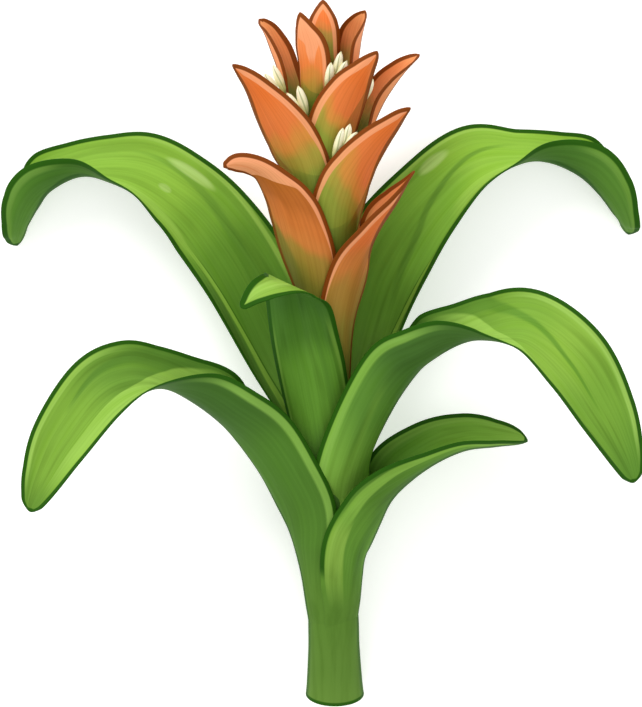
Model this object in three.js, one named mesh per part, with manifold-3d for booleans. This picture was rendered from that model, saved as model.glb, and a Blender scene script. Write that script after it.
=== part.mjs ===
// A guzmania cut at the foot of its stem and laid on its back: arching strap leaves in a
// loose rosette round the stem, and a spike of pointed bracts with flower buds between them.
// x runs across the plant, y from the cut end to the top of the flower spike,
// z up from the surface it lies on. Every length is in millimetres, every angle in degrees.

import * as THREE from "three";
import { mergeVertices } from "three/addons/utils/BufferGeometryUtils.js";
import Module from "manifold-3d";

const wasm = await Module();
wasm.setup();

// Driving dimensions
const plantLength = 353;
const axisHeight = 12.1;
const stemRise = 0.16;
const stemFootX = 7;
const stemTipX = 1;
const stemLength = 334;
const leafThickness = 1.3;
const bractThickness = 1.1;
const rimThickness = 0.8;
const budRadius = 2.4;
const clusterBaseRadius = 2.6;
const stalkRadius = 1.5;
const stalkDrop = 12;
const cutSlant = 24;
const cutHeight = 6.5;
// Clear space between pieces that grow against each other
const gap = 0.35;

// Fineness of the faceted surfaces
const stemSides = 24;
const leafColumns = 6;
const leafRowsPerStation = 3;
const bractColumns = 4;
const bractRowsPerStation = 2;
const budSides = 8;
const clusterBaseRings = 6;
const leastCurl = 5;
const curveTension = 0.5;
const mergeDistance = 1e-4;

// The stem's axis climbs gently from the cut end, because the two lowest leaf tips prop it up.
const axisX = (y) => stemFootX + ((stemTipX - stemFootX) * y) / plantLength;
const axisZ = (y) => axisHeight + stemRise * y;
const axisDirection = new THREE.Vector3((stemTipX - stemFootX) / plantLength, 1, stemRise).normalize();

// front is the height above the stem's axis at that y.
const place = ([x, y, front]) => new THREE.Vector3(x, y, axisZ(y) + front);

const radians = THREE.MathUtils.degToRad;
const upY = new THREE.Vector3(0, 1, 0);
const turnFromY = (direction) => new THREE.Quaternion().setFromUnitVectors(upY, direction);

// Solids
function solidOf(geometry) {
  const bare = geometry.index ? geometry.clone() : geometry;
  bare.deleteAttribute("normal");
  bare.deleteAttribute("uv");
  const merged = mergeVertices(bare, mergeDistance);
  return new wasm.Manifold(new wasm.Mesh({
    numProp: 3,
    vertProperties: new Float32Array(merged.attributes.position.array),
    triVerts: new Uint32Array(merged.index.array),
  }));
}

function geometryOf(solid) {
  const { vertProperties, triVerts } = solid.getMesh();
  const geometry = new THREE.BufferGeometry();
  geometry.setAttribute("position", new THREE.BufferAttribute(vertProperties, 3));
  geometry.setIndex(new THREE.BufferAttribute(triVerts, 1));
  return geometry;
}

// A blade is a strap whose section is an arc of a circle.
// Each station gives the midrib's point, the way its upper side faces,
// the width along the arc and the arc's angle in degrees.
function bladeSections(stations, steps) {
  const curveOf = (points) => new THREE.CatmullRomCurve3(points, false, "catmullrom", curveTension);
  const midrib = curveOf(stations.map((s) => s.point));
  const facing = curveOf(stations.map((s) => new THREE.Vector3(...s.face).normalize()));
  const sizes = curveOf(stations.map((s) => new THREE.Vector3(s.wide, s.curl, 0)));
  const sections = [];
  for (let i = 0; i <= steps; i += 1) {
    const t = i / steps;
    const along = midrib.getTangent(t);
    const face = facing.getPoint(t);
    face.addScaledVector(along, -face.dot(along)).normalize();
    const across = new THREE.Vector3().crossVectors(along, face);
    const { x: wide, y: curl } = sizes.getPoint(t);
    const bend = radians(Math.max(curl, leastCurl));
    sections.push({ centre: midrib.getPoint(t), face, across, wide, bend });
  }
  return sections;
}

// The blade's upper side, its under side and the narrow rim that joins them.
// It is thickest along the midrib. grow swells it on every side.
function bladeGeometry(sections, columns, thickness, grow = 0) {
  const positions = [];
  const row = 2 * (columns + 1);
  for (const { centre, face, across, wide, bend } of sections) {
    const radius = wide / bend;
    for (const side of [1, -1]) {
      for (let j = 0; j <= columns; j += 1) {
        const v = (2 * j) / columns - 1;
        const angle = (v * (wide / 2 + grow)) / radius;
        const half = (rimThickness + (thickness - rimThickness) * (1 - v * v)) / 2 + grow;
        const lift = radius - (radius - side * half) * Math.cos(angle);
        const shift = (radius - side * half) * Math.sin(angle);
        const point = centre.clone().addScaledVector(across, shift).addScaledVector(face, lift);
        positions.push(point.x, point.y, point.z);
      }
    }
  }
  const triangles = [];
  const quad = (a, b, c, d) => triangles.push(a, b, c, a, c, d);
  const upper = (i, j) => i * row + j;
  const under = (i, j) => i * row + columns + 1 + j;
  const last = sections.length - 1;
  for (let i = 0; i < last; i += 1) {
    for (let j = 0; j < columns; j += 1) {
      quad(upper(i, j), upper(i, j + 1), upper(i + 1, j + 1), upper(i + 1, j));
      triangles.push(under(i, j), under(i + 1, j + 1), under(i, j + 1));
      triangles.push(under(i, j), under(i + 1, j), under(i + 1, j + 1));
    }
    quad(under(i, 0), upper(i, 0), upper(i + 1, 0), under(i + 1, 0));
    quad(upper(i, columns), under(i, columns), under(i + 1, columns), upper(i + 1, columns));
  }
  for (let j = 0; j < columns; j += 1) {
    quad(under(0, j), under(0, j + 1), upper(0, j + 1), upper(0, j));
    quad(upper(last, j), upper(last, j + 1), under(last, j + 1), under(last, j));
  }
  const geometry = new THREE.BufferGeometry();
  geometry.setAttribute("position", new THREE.Float32BufferAttribute(positions, 3));
  geometry.setIndex(triangles);
  return geometry;
}

// The foot of a leaf or bract wraps the stem at an azimuth, 0 in front and positive to the right.
function sheathStation(azimuth, y, radius, wrap) {
  const a = radians(azimuth);
  return {
    point: new THREE.Vector3(axisX(y) + radius * Math.sin(a), y, axisZ(y) + radius * Math.cos(a)),
    face: [-Math.sin(a), 0, -Math.cos(a)],
    wide: radius * radians(wrap),
    curl: wrap,
  };
}

const station = (x, y, front, face, wide, curl) => ({ point: place([x, y, front]), face, wide, curl });

// Leaves, from the outermost sheath to the innermost.
// Each station: x, y, height over the stem's axis, facing, width, curl.
const leaves = [
  {
    name: "leaf_lower_right",
    stations: [
      station(16.3, 50, 9.1, [-0.77, 0, -0.64], 32.6, 140),
      station(17.2, 64, 9.9, [-0.77, 0, -0.64], 38.2, 150),
      station(20.1, 78, 12.9, [-0.8, 0, -0.6], 44.2, 143),
      station(28.3, 92.6, 13.5, [-0.82, 0.4, -0.4], 48, 160),
      station(40, 109.5, 12.5, [-0.66, 0.74, 0.22], 57, 188),
      station(55.8, 123, 12.5, [-0.44, 0.79, 0.42], 49, 160),
      station(72, 130.3, 14.5, [-0.17, 0.86, 0.47], 39, 145),
      station(87, 131.8, 17, [0.05, 0.88, 0.45], 29.5, 125),
      station(97, 132.3, 19, [0.1, 0.9, 0.4], 20, 108),
      station(103.2, 133, 20, [0.15, 0.93, 0.35], 8.5, 80),
    ],
  },
  {
    name: "leaf_mid_left",
    stations: [
      sheathStation(-77, 48, 13.2, 138),
      station(-9, 64, 2.7, [0.98, 0, -0.19], 36, 148),
      station(-12.8, 80, 3.6, [0.97, 0, -0.23], 53, 168),
      station(-18, 97, 7.5, [0.82, 0.34, -0.47], 59, 172),
      station(-27.3, 115, 13, [0.79, 0.43, -0.44], 61, 180),
      station(-38.8, 130.6, 18, [0.74, 0.59, -0.31], 66, 195),
      station(-52, 144, 23.5, [0.66, 0.76, 0], 68, 203),
      station(-66.3, 154.3, 29, [0.44, 0.89, 0.06], 61, 172),
      station(-80.7, 161.5, 33, [0.17, 0.92, 0.34], 52, 112),
      station(-95, 162.5, 37, [-0.13, 0.74, 0.66], 48, 92),
      station(-110, 155, 41, [-0.31, 0.42, 0.86], 43, 80),
      station(-127.5, 133, 45, [-0.38, 0.28, 0.88], 36, 65),
      station(-137.5, 115, 47, [-0.4, 0.25, 0.88], 25, 55),
      station(-142.5, 104, 47, [-0.4, 0.25, 0.88], 15, 48),
      station(-144.8, 98, 47, [-0.4, 0.25, 0.88], 7, 45),
    ],
  },
  {
    name: "leaf_mid_right",
    stations: [
      sheathStation(60, 64, 13, 150),
      sheathStation(56, 84, 14.4, 150),
      station(18.5, 104, 8, [-0.66, 0.1, -0.75], 48, 160),
      station(22, 124, 13, [-0.84, 0.24, -0.49], 54, 166),
      station(33, 148, 19, [-0.79, 0.4, -0.45], 56, 175),
      station(45.5, 165.5, 24.5, [-0.7, 0.6, -0.28], 62, 196),
      station(56, 174.3, 29, [-0.57, 0.82, 0.02], 63, 196),
      station(69, 181.8, 33, [-0.37, 0.92, 0.12], 57, 162),
      station(83, 186, 36.5, [-0.1, 0.9, 0.4], 53, 122),
      station(104, 187, 41, [0.24, 0.6, 0.76], 46, 92),
      station(124.8, 171, 44, [0.34, 0.32, 0.88], 43, 72),
      station(140.3, 147, 46, [0.38, 0.22, 0.9], 34.5, 65),
      station(149.5, 129, 47, [0.4, 0.2, 0.9], 23.5, 55),
      station(154, 118, 47, [0.4, 0.2, 0.9], 14, 48),
      station(155.6, 112.5, 47, [0.4, 0.2, 0.9], 7, 45),
    ],
  },
  {
    name: "leaf_centre",
    stations: [
      sheathStation(-8, 78, 12.4, 130),
      sheathStation(-8, 104, 12.8, 140),
      station(0, 136, 17, [0.1, 0.05, -1], 38, 130),
      station(-5, 164, 21, [0.12, 0.12, -1], 39, 105),
      station(-9.5, 184, 23.5, [0.2, 0.25, -0.95], 37, 80),
      station(-12.5, 198.5, 26, [0.38, 0.48, -0.8], 36, 50),
      station(-14.6, 209.4, 31, [0.37, 0.92, 0.05], 35, 8),
      station(-19, 210.8, 37.5, [0.3, 0.94, 0.17], 25.5, 10),
      station(-25.5, 209.6, 43.5, [0.26, 0.78, 0.57], 17, 25),
      station(-32.5, 206.3, 48, [0.25, 0.45, 0.86], 11, 35),
      station(-39.7, 199.4, 50, [0.25, 0.35, 0.9], 3, 40),
    ],
  },
  {
    name: "leaf_upper_left",
    stations: [
      sheathStation(-140, 70, 12.6, 150),
      sheathStation(-140, 100, 13, 150),
      station(-8, 143, -18, [0.4, 0.1, 0.9], 50, 150),
      station(-21, 174.5, -26, [0.35, 0.15, 0.92], 56, 130),
      station(-40, 215, -32, [0.3, 0.2, 0.93], 55, 95),
      station(-58, 241.5, -34, [0.2, 0.3, 0.93], 51, 75),
      station(-75, 256.8, -34, [0.22, 0.42, 0.88], 49, 84),
      station(-91, 265, -34, [0.18, 0.64, 0.74], 50, 100),
      station(-107, 267.5, -34, [0.05, 0.8, 0.59], 44, 112),
      station(-122, 266.2, -34, [-0.2, 0.94, 0.28], 45, 160),
      station(-135.5, 259, -34.5, [-0.52, 0.85, 0.12], 54, 195),
      station(-142.5, 250.5, -36, [-0.78, 0.57, -0.15], 46, 175),
      station(-148, 242, -40.5, [-0.87, 0.3, -0.4], 31.5, 122),
      station(-150.8, 236.2, -45, [-0.85, 0.25, -0.5], 21, 88),
      station(-153.2, 231.2, -48.6, [-0.75, 0.2, -0.65], 8.5, 50),
    ],
  },
  {
    name: "leaf_upper_right",
    stations: [
      sheathStation(140, 72, 12.6, 150),
      sheathStation(140, 102, 13, 150),
      station(14.5, 150, -18, [-0.4, 0.1, 0.9], 53, 150),
      station(25.7, 200.5, -30, [-0.35, 0.15, 0.92], 59, 110),
      station(38.2, 229, -34, [-0.3, 0.2, 0.93], 54.5, 85),
      station(55.6, 252.4, -34, [-0.2, 0.35, 0.9], 47, 75),
      station(77.2, 270.6, -34, [-0.3, 0.5, 0.8], 44.5, 88),
      station(99.5, 274.6, -36, [-0.05, 0.87, 0.47], 38, 100),
      station(115, 273, -35.5, [0.28, 0.95, 0.16], 45, 160),
      station(129.2, 266.6, -35.5, [0.43, 0.9, 0.08], 56.5, 200),
      station(140, 257, -37, [0.75, 0.6, -0.12], 47.5, 177),
      station(148.5, 246.4, -41, [0.87, 0.3, -0.38], 30, 118),
      station(152.3, 241.2, -45.4, [0.85, 0.2, -0.5], 21, 88),
      station(155, 236.8, -48.8, [0.7, 0.15, -0.7], 8.5, 50),
    ],
  },
];

// Bracts of the spike's near side, from the bottom up.
const bracts = [
  {
    name: "bract_01",
    stations: [
      sheathStation(50, 158, 10, 150),
      station(12.5, 190, 14, [-0.7, 0.15, -0.7], 30, 130),
      station(18.5, 215, 18, [-0.68, 0.2, -0.7], 32, 130),
      station(28.8, 238, 22, [-0.8, 0.5, 0.1], 31, 172),
      station(37.5, 252, 25, [-0.75, 0.6, 0.3], 20, 165),
      station(43, 262, 27, [-0.7, 0.6, 0.3], 7, 120),
      station(46.5, 267.5, 28, [-0.7, 0.6, 0.3], 1, 60),
    ],
  },
  {
    name: "bract_02",
    stations: [
      sheathStation(-48, 185, 10, 150),
      station(-9.8, 218, 17, [0.5, 0.15, -0.8], 38, 130),
      station(-14.8, 240, 20, [0.45, 0.15, -0.85], 36, 120),
      station(-19, 252, 22, [0.45, 0.3, -0.85], 30, 110),
      station(-24, 260.7, 24.5, [0.4, 0.4, -0.85], 21, 95),
      station(-29, 266.5, 27, [0.3, 0.45, -0.85], 15, 85),
      station(-35.5, 270, 29, [0.1, 0.45, -0.88], 12, 75),
      station(-42, 271, 30, [0, 0.4, -0.9], 10, 70),
      station(-46.5, 270.2, 30.5, [0, 0.4, -0.9], 5.5, 65),
      station(-48.5, 269.2, 30.5, [0, 0.4, -0.9], 1, 60),
    ],
  },
  {
    name: "bract_03",
    stations: [
      sheathStation(45, 203, 9, 150),
      station(10.8, 241, 16, [-0.42, 0.2, -0.9], 33.5, 125),
      station(14.3, 258, 20, [-0.42, 0.2, -0.9], 34, 120),
      station(19.6, 269.8, 22.5, [-0.42, 0.3, -0.88], 28, 110),
      station(27, 280.5, 25, [-0.42, 0.4, -0.85], 21, 95),
      station(35, 289.5, 27, [-0.4, 0.5, -0.8], 13.5, 85),
      station(40, 295, 28, [-0.4, 0.5, -0.8], 7.5, 80),
      station(44.5, 298.8, 28, [-0.4, 0.5, -0.8], 1, 60),
    ],
  },
  {
    name: "bract_04",
    stations: [
      sheathStation(-50, 225, 8.5, 150),
      station(-9.5, 263, 15, [0.42, 0.2, -0.9], 32, 125),
      station(-16.5, 280, 19, [0.42, 0.2, -0.9], 34, 120),
      station(-24.5, 294.5, 22, [0.42, 0.35, -0.85], 28, 105),
      station(-32.5, 307.5, 24, [0.4, 0.5, -0.8], 17, 90),
      station(-39, 315.5, 25, [0.4, 0.5, -0.8], 9, 80),
      station(-44, 320.3, 25.5, [0.4, 0.5, -0.8], 1, 60),
    ],
  },
  {
    name: "bract_05",
    stations: [
      sheathStation(25, 245, 7, 150),
      station(6.5, 275, 13, [-0.35, 0.1, -0.9], 29, 125),
      station(9.5, 292, 17, [-0.35, 0.15, -0.9], 32, 120),
      station(15.5, 307, 19.5, [-0.35, 0.25, -0.9], 25, 105),
      station(21.5, 317, 21, [-0.35, 0.3, -0.9], 14.5, 90),
      station(26, 323.5, 21.5, [-0.35, 0.3, -0.9], 7, 80),
      station(28, 327, 21.5, [-0.35, 0.3, -0.9], 1, 60),
    ],
  },
  {
    name: "bract_06",
    stations: [
      sheathStation(115, 240, 7, 150),
      station(20, 280, -6, [-0.68, 0.34, 0.6], 25, 130),
      station(29, 299.5, -8, [-0.8, 0.48, 0.36], 28, 135),
      station(35.5, 310.5, -10, [-0.78, 0.5, 0.38], 26, 130),
      station(41, 318.3, -12, [-0.66, 0.52, 0.5], 16.5, 115),
      station(45.5, 323.2, -13.5, [-0.5, 0.5, 0.65], 8, 100),
      station(49.3, 326.2, -14.5, [-0.35, 0.5, 0.8], 1, 60),
    ],
  },
  {
    name: "bract_07",
    stations: [
      sheathStation(-28, 280, 5, 150),
      station(-4.5, 303, 9, [0.4, 0.05, -0.9], 18, 120),
      station(-5, 320, 12, [0.4, 0.05, -0.9], 20, 110),
      station(-6.3, 330, 12.5, [0.35, 0.1, -0.9], 18.5, 105),
      station(-8.6, 338, 12, [0.3, 0.2, -0.9], 11.5, 95),
      station(-9.9, 343, 11, [0.3, 0.2, -0.9], 6, 85),
      station(-10.5, 346.5, 10, [0.3, 0.2, -0.9], 1, 60),
    ],
  },
  {
    name: "bract_08",
    stations: [
      sheathStation(-115, 262, 6, 150),
      station(-14, 300, -5, [0.75, 0.2, 0.6], 19, 130),
      station(-19.5, 316, -6, [0.85, 0.2, 0.45], 22, 150),
      station(-23.5, 327, -8, [0.85, 0.2, 0.45], 22, 155),
      station(-27, 336.5, -10, [0.8, 0.25, 0.5], 16, 130),
      station(-29.5, 341.5, -11.5, [0.6, 0.4, 0.7], 8, 100),
      station(-31, 343.8, -12, [0.5, 0.45, 0.7], 1, 60),
    ],
  },
  {
    name: "bract_09",
    stations: [
      sheathStation(85, 285, 4.5, 150),
      station(14.5, 308, 0, [-0.86, 0.1, 0.5], 23, 140),
      station(17.8, 325, 0, [-0.92, 0.1, 0.37], 28, 140),
      station(19.2, 335, 0, [-0.9, 0.15, 0.4], 26, 135),
      station(20.6, 342.5, 0.5, [-0.75, 0.3, 0.6], 14.5, 115),
      station(22, 347.7, 1, [-0.5, 0.35, 0.8], 1, 60),
    ],
  },
  {
    name: "bract_10",
    stations: [
      sheathStation(0, 295, 3.5, 150),
      station(1.5, 318, 6, [0, 0, -1], 18, 130),
      station(1, 335, 6, [0, -0.05, -1], 19, 110),
      station(1, 343, 4.5, [0, -0.1, -1], 15.5, 100),
      station(1, 348.5, 2.5, [0, -0.1, -1], 9, 90),
      station(1, 353, 0, [0, -0.1, -1], 1, 60),
    ],
  },
];

// The bracts on the far side follow one rule: each leaves the stem at its azimuth and base,
// runs up along it and bends out to its tip.
const backBracts = [
  { azimuth: -140, base: 170, tip: [-14, 250, -30], wide: 32 },
  { azimuth: 150, base: 180, tip: [18, 256, -32], wide: 32 },
  { azimuth: -165, base: 212, tip: [-12, 285, -31], wide: 30 },
  { azimuth: 165, base: 225, tip: [16, 296, -29], wide: 30 },
  { azimuth: -150, base: 255, tip: [-10, 322, -22], wide: 25 },
  { azimuth: 160, base: 268, tip: [12, 330, -18], wide: 22 },
  { azimuth: 180, base: 295, tip: [2, 345, -9], wide: 16 },
];
const backBractHug = 0.3;
const backBractWrap = 150;
// Shares of a far bract's length: its run along the stem, its rise off it, and the straight reach of
// its tip. The splay is how far the tip leans out.
const backBractRun = 0.45;
const backBractRise = 0.08;
const backBractReach = 0.35;
const backBractSplay = 0.5;

// Share of the length, share of the full width, and curl.
const backBractShape = [
  [0, 0.75, 150],
  [0.25, 0.95, 135],
  [0.5, 1, 115],
  [0.75, 0.68, 100],
  [0.9, 0.3, 90],
  [1, 0.04, 60],
];

function backBractStations({ azimuth, base, tip, wide }) {
  const root = sheathStation(azimuth, base, backBractHug * wide, backBractWrap);
  const out = new THREE.Vector3(...root.face).negate();
  const end = place(tip);
  const length = root.point.distanceTo(end);
  const first = root.point.clone();
  first.addScaledVector(axisDirection, backBractRun * length);
  first.addScaledVector(out, backBractRise * length);
  const tipDirection = axisDirection.clone().addScaledVector(out, backBractSplay).normalize();
  const second = end.clone().addScaledVector(tipDirection, -backBractReach * length);
  const spine = new THREE.CubicBezierCurve3(root.point, first, second, end);
  return backBractShape.map(([t, share, curl]) => {
    return { point: spine.getPoint(t), face: root.face, wide: wide * share, curl };
  });
}

// Flower buds in bunches that sit in the angle of a bract.
// Each bud: x, y and height over the axis of its tip, then of its root.
const budClusters = [
  {
    name: "flowers_1",
    buds: [
      [-28, 316, 12, -21, 304, 8],
      [-24, 320.5, 6, -18, 306, 5],
    ],
  },
  {
    name: "flowers_2",
    buds: [
      [-17, 306.5, 14, -10, 294, 12],
      [-11.5, 310, 12, -7, 294, 11],
    ],
  },
  {
    name: "flowers_3",
    buds: [
      [5, 321.5, 15, 3, 307, 12],
      [10, 327, 12, 6, 312, 10],
      [13, 322.5, 13, 6, 309, 11],
    ],
  },
  {
    name: "flowers_4",
    buds: [
      [26, 313.5, 5, 18.5, 300, 3],
    ],
  },
  {
    name: "flowers_5",
    buds: [
      [11, 289, 22, 6, 273.5, 19],
      [14.5, 291, 20, 10, 277, 19],
      [18, 287, 21, 10, 275, 19],
    ],
  },
  {
    name: "flowers_back_1",
    buds: [
      [9, 257, -24, 6, 242, -16],
      [13, 253, -25, 9, 240, -16],
    ],
  },
  {
    name: "flowers_back_2",
    buds: [
      [-3, 285, -22, -1, 270, -15],
      [-7, 282, -23, -4, 268, -16],
    ],
  },
  {
    name: "flowers_back_3",
    buds: [
      [-2, 322, -14, 0, 307, -9],
      [-6, 320, -16, -3, 306, -10],
    ],
  },
];

// Share of the radius and share of the length, from the root to the pointed tip.
const budProfile = [[0, 0], [0.45, 0.04], [0.75, 0.2], [1, 0.5], [0.8, 0.78], [0.35, 0.94], [0, 1]];

function budGeometry(tip, root, grow) {
  const start = place(root);
  const end = place(tip);
  const length = start.distanceTo(end) + 2 * grow;
  const points = budProfile.map(([r, u]) => new THREE.Vector2(r * (budRadius + grow), u * length));
  const geometry = new THREE.LatheGeometry(points, budSides);
  const direction = end.clone().sub(start).normalize();
  geometry.applyQuaternion(turnFromY(direction));
  start.addScaledVector(direction, -grow);
  geometry.translate(start.x, start.y, start.z);
  return geometry;
}

// A bunch's stalk runs down and in to the stem.
function stalkGeometry(foot, grow) {
  const y = foot.y - stalkDrop;
  const end = new THREE.Vector3(axisX(y), y, axisZ(y));
  const radius = stalkRadius + grow;
  const geometry = new THREE.CylinderGeometry(radius, radius, foot.distanceTo(end), budSides);
  geometry.applyQuaternion(turnFromY(foot.clone().sub(end).normalize()));
  const centre = foot.clone().add(end).multiplyScalar(0.5);
  geometry.translate(centre.x, centre.y, centre.z);
  return geometry;
}

function clusterSolid({ buds }, grow = 0) {
  const foot = new THREE.Vector3();
  const solids = [];
  for (const [x, y, front, rootX, rootY, rootFront] of buds) {
    solids.push(solidOf(budGeometry([x, y, front], [rootX, rootY, rootFront], grow)));
    foot.add(place([rootX, rootY, rootFront]));
  }
  foot.multiplyScalar(1 / buds.length);
  const base = new THREE.SphereGeometry(clusterBaseRadius + grow, budSides, clusterBaseRings);
  base.translate(foot.x, foot.y, foot.z);
  solids.push(solidOf(base), solidOf(stalkGeometry(foot, grow)));
  return solids.reduce((whole, part) => whole.add(part));
}

// Stem: radius and distance from the cut end, tapering to the top.
const stemProfile = [
  [0, 0],
  [13.2, 0],
  [15, 2],
  [14, 12],
  [12.9, 30],
  [12.7, 44],
  [11.8, 60],
  [10.5, 80],
  [9.5, 110],
  [8.5, 150],
  [7.5, 190],
  [6.5, 240],
  [5, 290],
  [3, 325],
  [0, stemLength],
];

function stemGeometry(grow = 0) {
  const points = stemProfile.map(([r, y]) => {
    return new THREE.Vector2(r > 0 ? r + grow : 0, y === stemLength ? y + grow : y);
  });
  const geometry = new THREE.LatheGeometry(points, stemSides);
  geometry.applyQuaternion(turnFromY(axisDirection));
  geometry.translate(stemFootX, 0, axisHeight);
  return geometry;
}

// Assembly
const freshPlant = { roughness: 0.5, metalness: 0, side: THREE.DoubleSide };
const leafGreen = new THREE.MeshStandardMaterial({ color: 0x6a9a35, ...freshPlant });
const bractOrange = new THREE.MeshStandardMaterial({ color: 0xe8752e, ...freshPlant });
const budCream = new THREE.MeshStandardMaterial({ color: 0xf3efc4, ...freshPlant });

const plant = new THREE.Group();

function addPiece(name, solid, material) {
  const mesh = new THREE.Mesh(geometryOf(solid), material);
  mesh.name = name;
  plant.add(mesh);
}

// Nothing reaches below the surface, so the foot of the stem and the two drooping tips rest on flats.
const surfaceWidth = 400;
const surfaceDepth = 20;
const belowBlock = new THREE.BoxGeometry(surfaceWidth, surfaceWidth, surfaceDepth);
belowBlock.translate(0, plantLength / 2, -surfaceDepth / 2);
const below = solidOf(belowBlock);

// The foot of the stem is cut aslant, so that its front edge is the lowest.
const offcutWidth = 80;
const offcutLength = 40;
const cutBlock = new THREE.BoxGeometry(offcutWidth, offcutLength, offcutWidth);
cutBlock.translate(0, -offcutLength / 2, 0);
cutBlock.rotateX(radians(cutSlant));
cutBlock.translate(stemFootX, cutHeight, axisHeight);
addPiece("stem", solidOf(stemGeometry()).subtract(solidOf(cutBlock)).subtract(below), leafGreen);

// Each piece gives way to the stem and to the pieces placed before it.
// A sliver that this cuts loose is dropped.
const taken = [solidOf(stemGeometry(gap))];
const boxesMeet = (a, b) => [0, 1, 2].every((k) => a.min[k] < b.max[k] && b.min[k] < a.max[k]);

function fitPiece(name, solid, grownSolid, material) {
  let fitted = solid.subtract(below);
  for (const other of taken) {
    if (boxesMeet(fitted.boundingBox(), other.boundingBox())) {
      fitted = fitted.subtract(other);
    }
  }
  const bodies = fitted.decompose();
  bodies.sort((a, b) => b.volume() - a.volume());
  taken.push(grownSolid);
  addPiece(name, bodies[0], material);
}

function fitLeaf(name, stations) {
  const sections = bladeSections(stations, leafRowsPerStation * (stations.length - 1));
  const solid = solidOf(bladeGeometry(sections, leafColumns, leafThickness));
  const grownSolid = solidOf(bladeGeometry(sections, leafColumns, leafThickness, gap));
  fitPiece(name, solid, grownSolid, leafGreen);
}

function fitBract(name, stations) {
  const sections = bladeSections(stations, bractRowsPerStation * (stations.length - 1));
  const solid = solidOf(bladeGeometry(sections, bractColumns, bractThickness));
  const grownSolid = solidOf(bladeGeometry(sections, bractColumns, bractThickness, gap));
  fitPiece(name, solid, grownSolid, bractOrange);
}

leaves.forEach(({ name, stations }) => fitLeaf(name, stations));
bracts.forEach(({ name, stations }) => fitBract(name, stations));
backBracts.forEach((bract, i) => fitBract(`bract_back_${i + 1}`, backBractStations(bract)));
budClusters.forEach((cluster) => {
  fitPiece(cluster.name, clusterSolid(cluster), clusterSolid(cluster, gap), budCream);
});

// The origin is the middle of the box's underside.
const middle = new THREE.Box3().setFromObject(plant).getCenter(new THREE.Vector3());
plant.position.set(-middle.x, -middle.y, 0);

export default plant;
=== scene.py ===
# %% [markdown]
# # A guzmania lying on a table
#
# A guzmania is a bromeliad: a rosette of long strap leaves round a stem, and in its middle
# a spike of pointed, brightly coloured bracts with small cream flower buds between them.
# This one is cut at the foot of its stem and lies on its back.
#
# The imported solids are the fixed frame. They give every leaf and bract its place and its size,
# but they are faceted. Each is replaced here by a finer piece with the same form.

import bmesh
import bpy
import numpy as np
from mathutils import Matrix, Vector


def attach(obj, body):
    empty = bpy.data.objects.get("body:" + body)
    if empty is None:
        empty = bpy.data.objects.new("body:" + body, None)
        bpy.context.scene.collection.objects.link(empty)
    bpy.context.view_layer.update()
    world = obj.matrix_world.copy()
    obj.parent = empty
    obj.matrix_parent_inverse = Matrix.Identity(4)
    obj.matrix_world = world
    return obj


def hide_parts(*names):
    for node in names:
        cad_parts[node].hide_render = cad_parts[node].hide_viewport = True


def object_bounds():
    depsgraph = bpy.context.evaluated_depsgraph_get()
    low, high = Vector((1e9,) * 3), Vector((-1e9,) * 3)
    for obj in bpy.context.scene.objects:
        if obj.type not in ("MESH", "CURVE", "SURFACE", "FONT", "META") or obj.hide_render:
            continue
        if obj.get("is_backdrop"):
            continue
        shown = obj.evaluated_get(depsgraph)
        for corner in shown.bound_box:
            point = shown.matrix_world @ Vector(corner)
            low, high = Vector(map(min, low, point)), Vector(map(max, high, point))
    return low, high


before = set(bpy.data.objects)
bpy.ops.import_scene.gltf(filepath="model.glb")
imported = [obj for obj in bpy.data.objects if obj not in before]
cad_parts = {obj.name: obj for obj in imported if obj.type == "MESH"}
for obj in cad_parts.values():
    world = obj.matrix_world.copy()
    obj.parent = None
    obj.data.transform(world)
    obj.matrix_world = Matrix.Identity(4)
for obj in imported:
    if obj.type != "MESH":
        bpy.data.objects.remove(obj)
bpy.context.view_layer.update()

# %% [markdown]
# ## Camera
#
# The picture shows the plant square on. It lies on its back, so the camera looks straight down.
# A very long lens from far away keeps near and far leaves at one scale, as a drawing does.
# The picture is 707 pixels high and half a millimetre of plant fills a pixel.

# %% Camera
picture_height = 707 * 0.0005
camera_distance = 6.0
middle_height = 0.045
middle_along = 0.00027
sensor_width = 36

camera_data = bpy.data.cameras.new("camera")
camera_data.sensor_width = sensor_width
camera_data.lens = sensor_width * camera_distance / picture_height
camera_data.clip_end = 60
camera = bpy.data.objects.new("camera", camera_data)
camera.location = (0, middle_along, camera_distance + middle_height)
bpy.context.collection.objects.link(camera)
bpy.context.scene.camera = camera
print("lens", round(camera_data.lens), "mm")

# %% [markdown]
# ## Floor and light
#
# A plain white floor and a bright, even sky stand for a studio table. One large lamp beyond the
# top of the spike brightens what faces that way, so the crowns of the arching leaves are light
# and the sides that face the cut end are darker.
# The plain colour transform keeps the greens and oranges as clear as they are mixed.

# %% Paint and colour helpers
def colour(text):
    """A colour written as RRGGBB, as the linear numbers that Blender mixes."""
    parts = [int(text[i:i + 2], 16) / 255 for i in (0, 2, 4)]
    return (*(c / 12.92 if c <= 0.04045 else ((c + 0.055) / 1.055) ** 2.4 for c in parts), 1.0)


def new_paint(name):
    """A new material, with its node tree and the inputs of its shader."""
    material = bpy.data.materials.new(name)
    material.use_nodes = True
    tree = material.node_tree
    return material, tree, tree.nodes["Principled BSDF"].inputs


print("mid green", [round(c, 3) for c in colour("6a9a35")])

# %% Floor, sky and lamps
bpy.context.scene.view_settings.view_transform = "Standard"

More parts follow.
